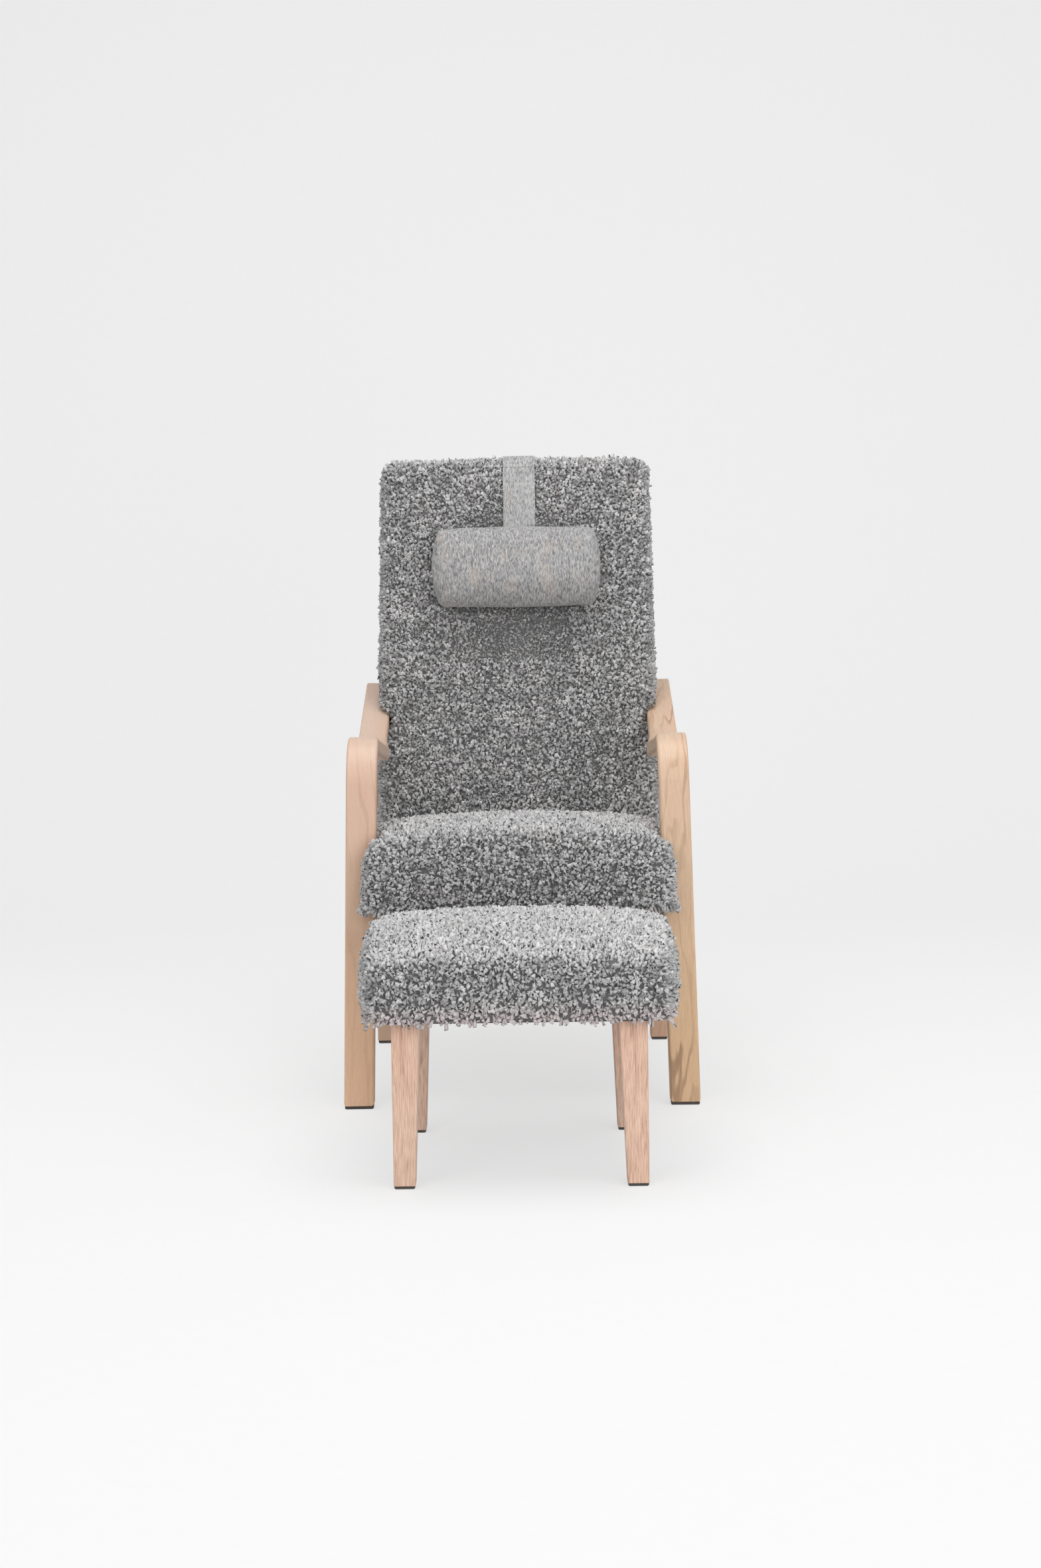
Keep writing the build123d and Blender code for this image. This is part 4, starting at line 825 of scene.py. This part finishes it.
# The neck pillow: a roll of filling in the heather-grey cloth, with a domed panel sewn into each
# end. It hangs on a strap that runs up and over the top of the back.
pillow_cloth = heather_cloth("pillow_cloth", 0.0, (0.57, 0.56, 0.555), (0.075, 0.075, 0.08))
pillow_box = [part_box(node) for node in ("pillow_wrap", "pillow_end_panels")]
pillow_middle = (Vector(pillow_box[0][0]) + Vector(pillow_box[0][1])) / 2
pillow = stuffed_body(
    "neck_pillow_cover",
    ("pillow_wrap", "pillow_end_panels", "pillow_filling"),
    Matrix.Translation(pillow_middle),
    (-0.12, -0.025, -0.04),
    (0.12, 0.025, 0.04),
    0.0042,
)
drawn_in(pillow, 0.0012, (0, 0, 0))
to_rear = points_of(pillow.data, "normal") @ np.array(back_rear)
pillow_pressure, pillow_swell = 4.0, 0.0020
filled_out(pillow, np.clip((to_rear - 0.3) / 0.4, 0, 1), pillow_pressure, pillow_swell)
smoother = pillow.modifiers.new("smoother", "SUBSURF")
smoother.levels = 1
graph = bpy.context.evaluated_depsgraph_get()
smoothed = bpy.data.meshes.new_from_object(pillow.evaluated_get(graph))
pillow.modifiers.remove(smoother)
pillow.data = smoothed
spots = points_of(pillow.data)
ways = points_of(pillow.data, "normal")
pillow_side, seam_from_middle = 0.001, 0.1445
from_seam = np.abs(spots[:, 0] - pillow_side) - seam_from_middle
groove = 0.0012 * np.exp(-((from_seam / 0.0026) ** 2))
pucker = np.sin(spots[:, 2] * 230 + spots[:, 1] * 170) * np.exp(-((from_seam / 0.012) ** 2)) * 0.0005
rumple = np.array([noise.noise(Vector(spot) * 24.0) for spot in spots]) * 0.0011
spots += ways * (pucker + rumple - groove)[:, None]
pillow.data.vertices.foreach_set("co", spots.ravel())
for face in pillow.data.polygons:
    face.use_smooth = True
pillow.data.materials.clear()
pillow.data.materials.append(pillow_cloth)
pillow.data.update()
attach(pillow, "neck_pillow")
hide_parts("pillow_wrap", "pillow_end_panels", "pillow_filling")

# The strap: a flat band of the same cloth, 62 mm wide, folded and sewn along both edges. One run
# holds the pillow, one lies over the top of the back, and one holds the counterweight.
strap_cloth = heather_cloth("strap_cloth", 5.0, (0.62, 0.615, 0.61), (0.12, 0.12, 0.125))
strap_side, strap_half, strap_thick = 0.008, 0.031, 0.003
strap_front, strap_behind = -0.0106, 0.0886
pillow_top, turn_up, strap_drop = 0.728, 0.896, 0.145
turn_radius, turn_front, turn_rear = 0.0306, 0.020, 0.058


def on_back(side, rear, up):
    """A point beside, behind and up the back's front face."""
    return back_place @ Vector((side, rear, up))


def hemmed_band(name, line, rows):
    """A flat band along a line in the strap's middle plane, its thickness away from the back."""
    hem = [(-1.0, 0.0), (-1.0, 0.75), (-0.975, 1.0), (-0.90, 1.0), (-0.865, 0.82)]
    hem += [(-0.80, 0.93), (-0.4, 0.95)]
    other_hem = [(-across, height) for across, height in reversed(hem)]
    profile = hem + [(0.0, 0.95)] + other_hem + [(0.0, 0.0)]
    spots = np.array([tuple(point) for point in line])
    run = np.concatenate([[0], np.cumsum(np.linalg.norm(np.diff(spots, axis=0), axis=1))])
    even = np.linspace(0, run[-1], rows)
    path = np.stack([np.interp(even, run, spots[:, axis]) for axis in range(3)], 1)
    sense = np.gradient(path, axis=0)
    outward = np.cross(np.array((1.0, 0, 0)), sense)
    outward /= np.linalg.norm(outward, axis=1)[:, None]
    shape = bmesh.new()
    loops = []
    for place in range(rows):
        middle, away = Vector(path[place]), Vector(outward[place]) * strap_thick
        loop = []
        for across, high in profile:
            loop.append(shape.verts.new(middle + Vector((across * strap_half, 0, 0)) + away * high))
        loops.append(loop)
    count = len(profile)
    for lower, upper in zip(loops, loops[1:]):
        for side in range(count):
            other = (side + 1) % count
            shape.faces.new((lower[side], lower[other], upper[other], upper[side]))
    shape.faces.new(loops[0])
    shape.faces.new(loops[-1])
    bmesh.ops.recalc_face_normals(shape, faces=shape.faces)
    for face in shape.faces:
        face.smooth = True
    mesh = bpy.data.meshes.new(name)
    shape.to_mesh(mesh)
    shape.free()
    band = bpy.data.objects.new(name, mesh)
    bpy.context.scene.collection.objects.link(band)
    mesh.materials.append(strap_cloth)
    return band


front_line = [on_back(strap_side, strap_front, height) for height in (pillow_top, turn_up)]
front_band = hemmed_band("strap_front_band", front_line, 48)
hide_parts("strap_front_run")
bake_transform(front_band)

up_and_over, over_and_down = [], []
for angle in range(0, 91, 6):
    short, long = turn_radius * sin(radians(angle)), turn_radius * cos(radians(angle))
    up_and_over.append(on_back(strap_side, turn_front - long, turn_up + short))
    over_and_down.append(on_back(strap_side, turn_rear + short, turn_up + long))
over_line = up_and_over + over_and_down
top_band = hemmed_band("strap_top_band", over_line, 64)
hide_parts("strap_top_run")
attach(top_band, "chair")

rear_line = [on_back(strap_side, strap_behind, height) for height in (turn_up, turn_up - strap_drop)]
rear_band = hemmed_band("strap_rear_band", rear_line, 40)
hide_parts("strap_rear_run")
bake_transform(rear_band)

# The counterweight: a zinc-plated steel bar sewn into a flat pouch of the strap's cloth, with a
# line of stitching round its edge.
columns, lines = 44, 36
pouch_half_width, pouch_half_height = 0.055, 0.045
pouch_up = turn_up - strap_drop - pouch_half_height
pouch_rim, pouch_swell, stitch_depth = 0.0016, 0.0102, 0.0007
skins = {}
pouch_shape = bmesh.new()
for column in range(columns + 1):
    for line in range(lines + 1):
        across, height = 2 * column / columns - 1, 2 * line / lines - 1
        edge = max(abs(across), abs(height))
        plump = (1 - abs(across) ** 20) ** 0.5 * (1 - abs(height) ** 20) ** 0.5
        stitched = stitch_depth if 0.93 < edge < 0.97 else 0.0
        beside = strap_side + pouch_half_width * across * (1 - 0.018 * (1 - height**2))
        above = pouch_up + pouch_half_height * height * (1 - 0.015 * (1 - across**2))
        outer = strap_behind + pouch_rim + pouch_swell * plump - stitched
        skins[column, line, "outside"] = pouch_shape.verts.new(on_back(beside, outer, above))
        skins[column, line, "inside"] = pouch_shape.verts.new(on_back(beside, strap_behind, above))
for column in range(columns):
    for line in range(lines):
        round_cell = ((column, line), (column + 1, line), (column + 1, line + 1), (column, line + 1))
        for skin in ("outside", "inside"):
            pouch_shape.faces.new([skins[(*cell, skin)] for cell in round_cell])
rim = [(column, 0) for column in range(columns)] + [(columns, line) for line in range(lines)]
rim += [(column, lines) for column in range(columns, 0, -1)] + [(0, line) for line in range(lines, 0, -1)]
for here, there in zip(rim, rim[1:] + rim[:1]):
    corners = ((*here, "outside"), (*there, "outside"), (*there, "inside"), (*here, "inside"))
    pouch_shape.faces.new([skins[corner] for corner in corners])
bmesh.ops.recalc_face_normals(pouch_shape, faces=pouch_shape.faces)
for face in pouch_shape.faces:
    face.smooth = True
pouch_mesh = bpy.data.meshes.new("counterweight_cover")
pouch_shape.to_mesh(pouch_mesh)
pouch_shape.free()
pouch = bpy.data.objects.new("counterweight_cover", pouch_mesh)
bpy.context.scene.collection.objects.link(pouch)
pouch_mesh.materials.append(strap_cloth)
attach(pouch, "counterweight")
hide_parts("counterweight_pouch")
give(zinc.material, "counterweight_bar")

# The footstool: the same foam and fleece over a ring of plywood, crowned on top, with the pile
# painted paler there as painted light from above. Its four tapered legs are of a pinker hardwood, bolted
# to corner blocks.
stool = stuffed_body(
    "stool_upholstery",
    ("stool_fleece_cover", "stool_foam", "stool_frame", "stool_corner_blocks", "stool_dust_cloth"),
    stool_place,
    (-0.190, -0.182, 0.0005),
    (0.190, 0.182, 0.070),
    skin_cell,
)
pinned = 1 - drawn_in(stool, pile_room, down)
filled_out(stool, pinned, cushion_pressure, cushion_swell)
legs = ["stool_leg_" + corner for corner in ("front_left", "front_right", "rear_left", "rear_right")]
leg_neighbours = nearness([nodes[leg] for leg in legs])
# Painted light: the footstool's pile level, and the paler pile on its top.
stool_painted_light_level, stool_top_painted_light, stool_seed = 0.78, 0.8, 43
fleeced(
    stool, down, down, stool_painted_light_level, stool_top_painted_light, stool_seed, leg_neighbours, "footstool",
    ("stool_fleece_cover", "stool_foam")
)
stool_wood = lacquered_wood(
    "stool_leg_wood", (0.75, 0.53, 0.405), (0.38, 0.20, 0.13), upright_grain, 4.4,
    figure=0.9, line=0.55, fleck=0.75
)
give(stool_wood, *legs)

# The floor and the wall of the studio are one sweep of matt white paper. It keeps the furniture's
# shadow; what the camera and mirrored rays see of it is lifted towards white.
paper = Finish("pale_paper", Roughness=0.95, Specular_IOR_Level=0.1)
x, y, z = paper.place()
tooth = paper.grains(x * 40, y * 40, z * 40, 3.0)
paper.dress(Base_Color=paper.shades(tooth, (0.80, 0.80, 0.80), (0.84, 0.84, 0.84)))
seen = paper.node("ShaderNodeLightPath", {}, {}, "Is Camera Ray")
mirrored = paper.node("ShaderNodeLightPath", {}, {}, "Is Glossy Ray")
glow = paper.node("ShaderNodeEmission", {}, {"Color": (1, 1, 1), "Strength": 1.0})
plain = Measure(paper, paper.shader.outputs[0])
share = paper.greater(seen, mirrored) * 0.62
lifted = paper.node("ShaderNodeMixShader", {}, {0: share, 1: plain, 2: glow})
paper.tree.links.new(lifted.socket, paper.tree.nodes["Material Output"].inputs["Surface"])
sweep.data.materials.append(paper.material)
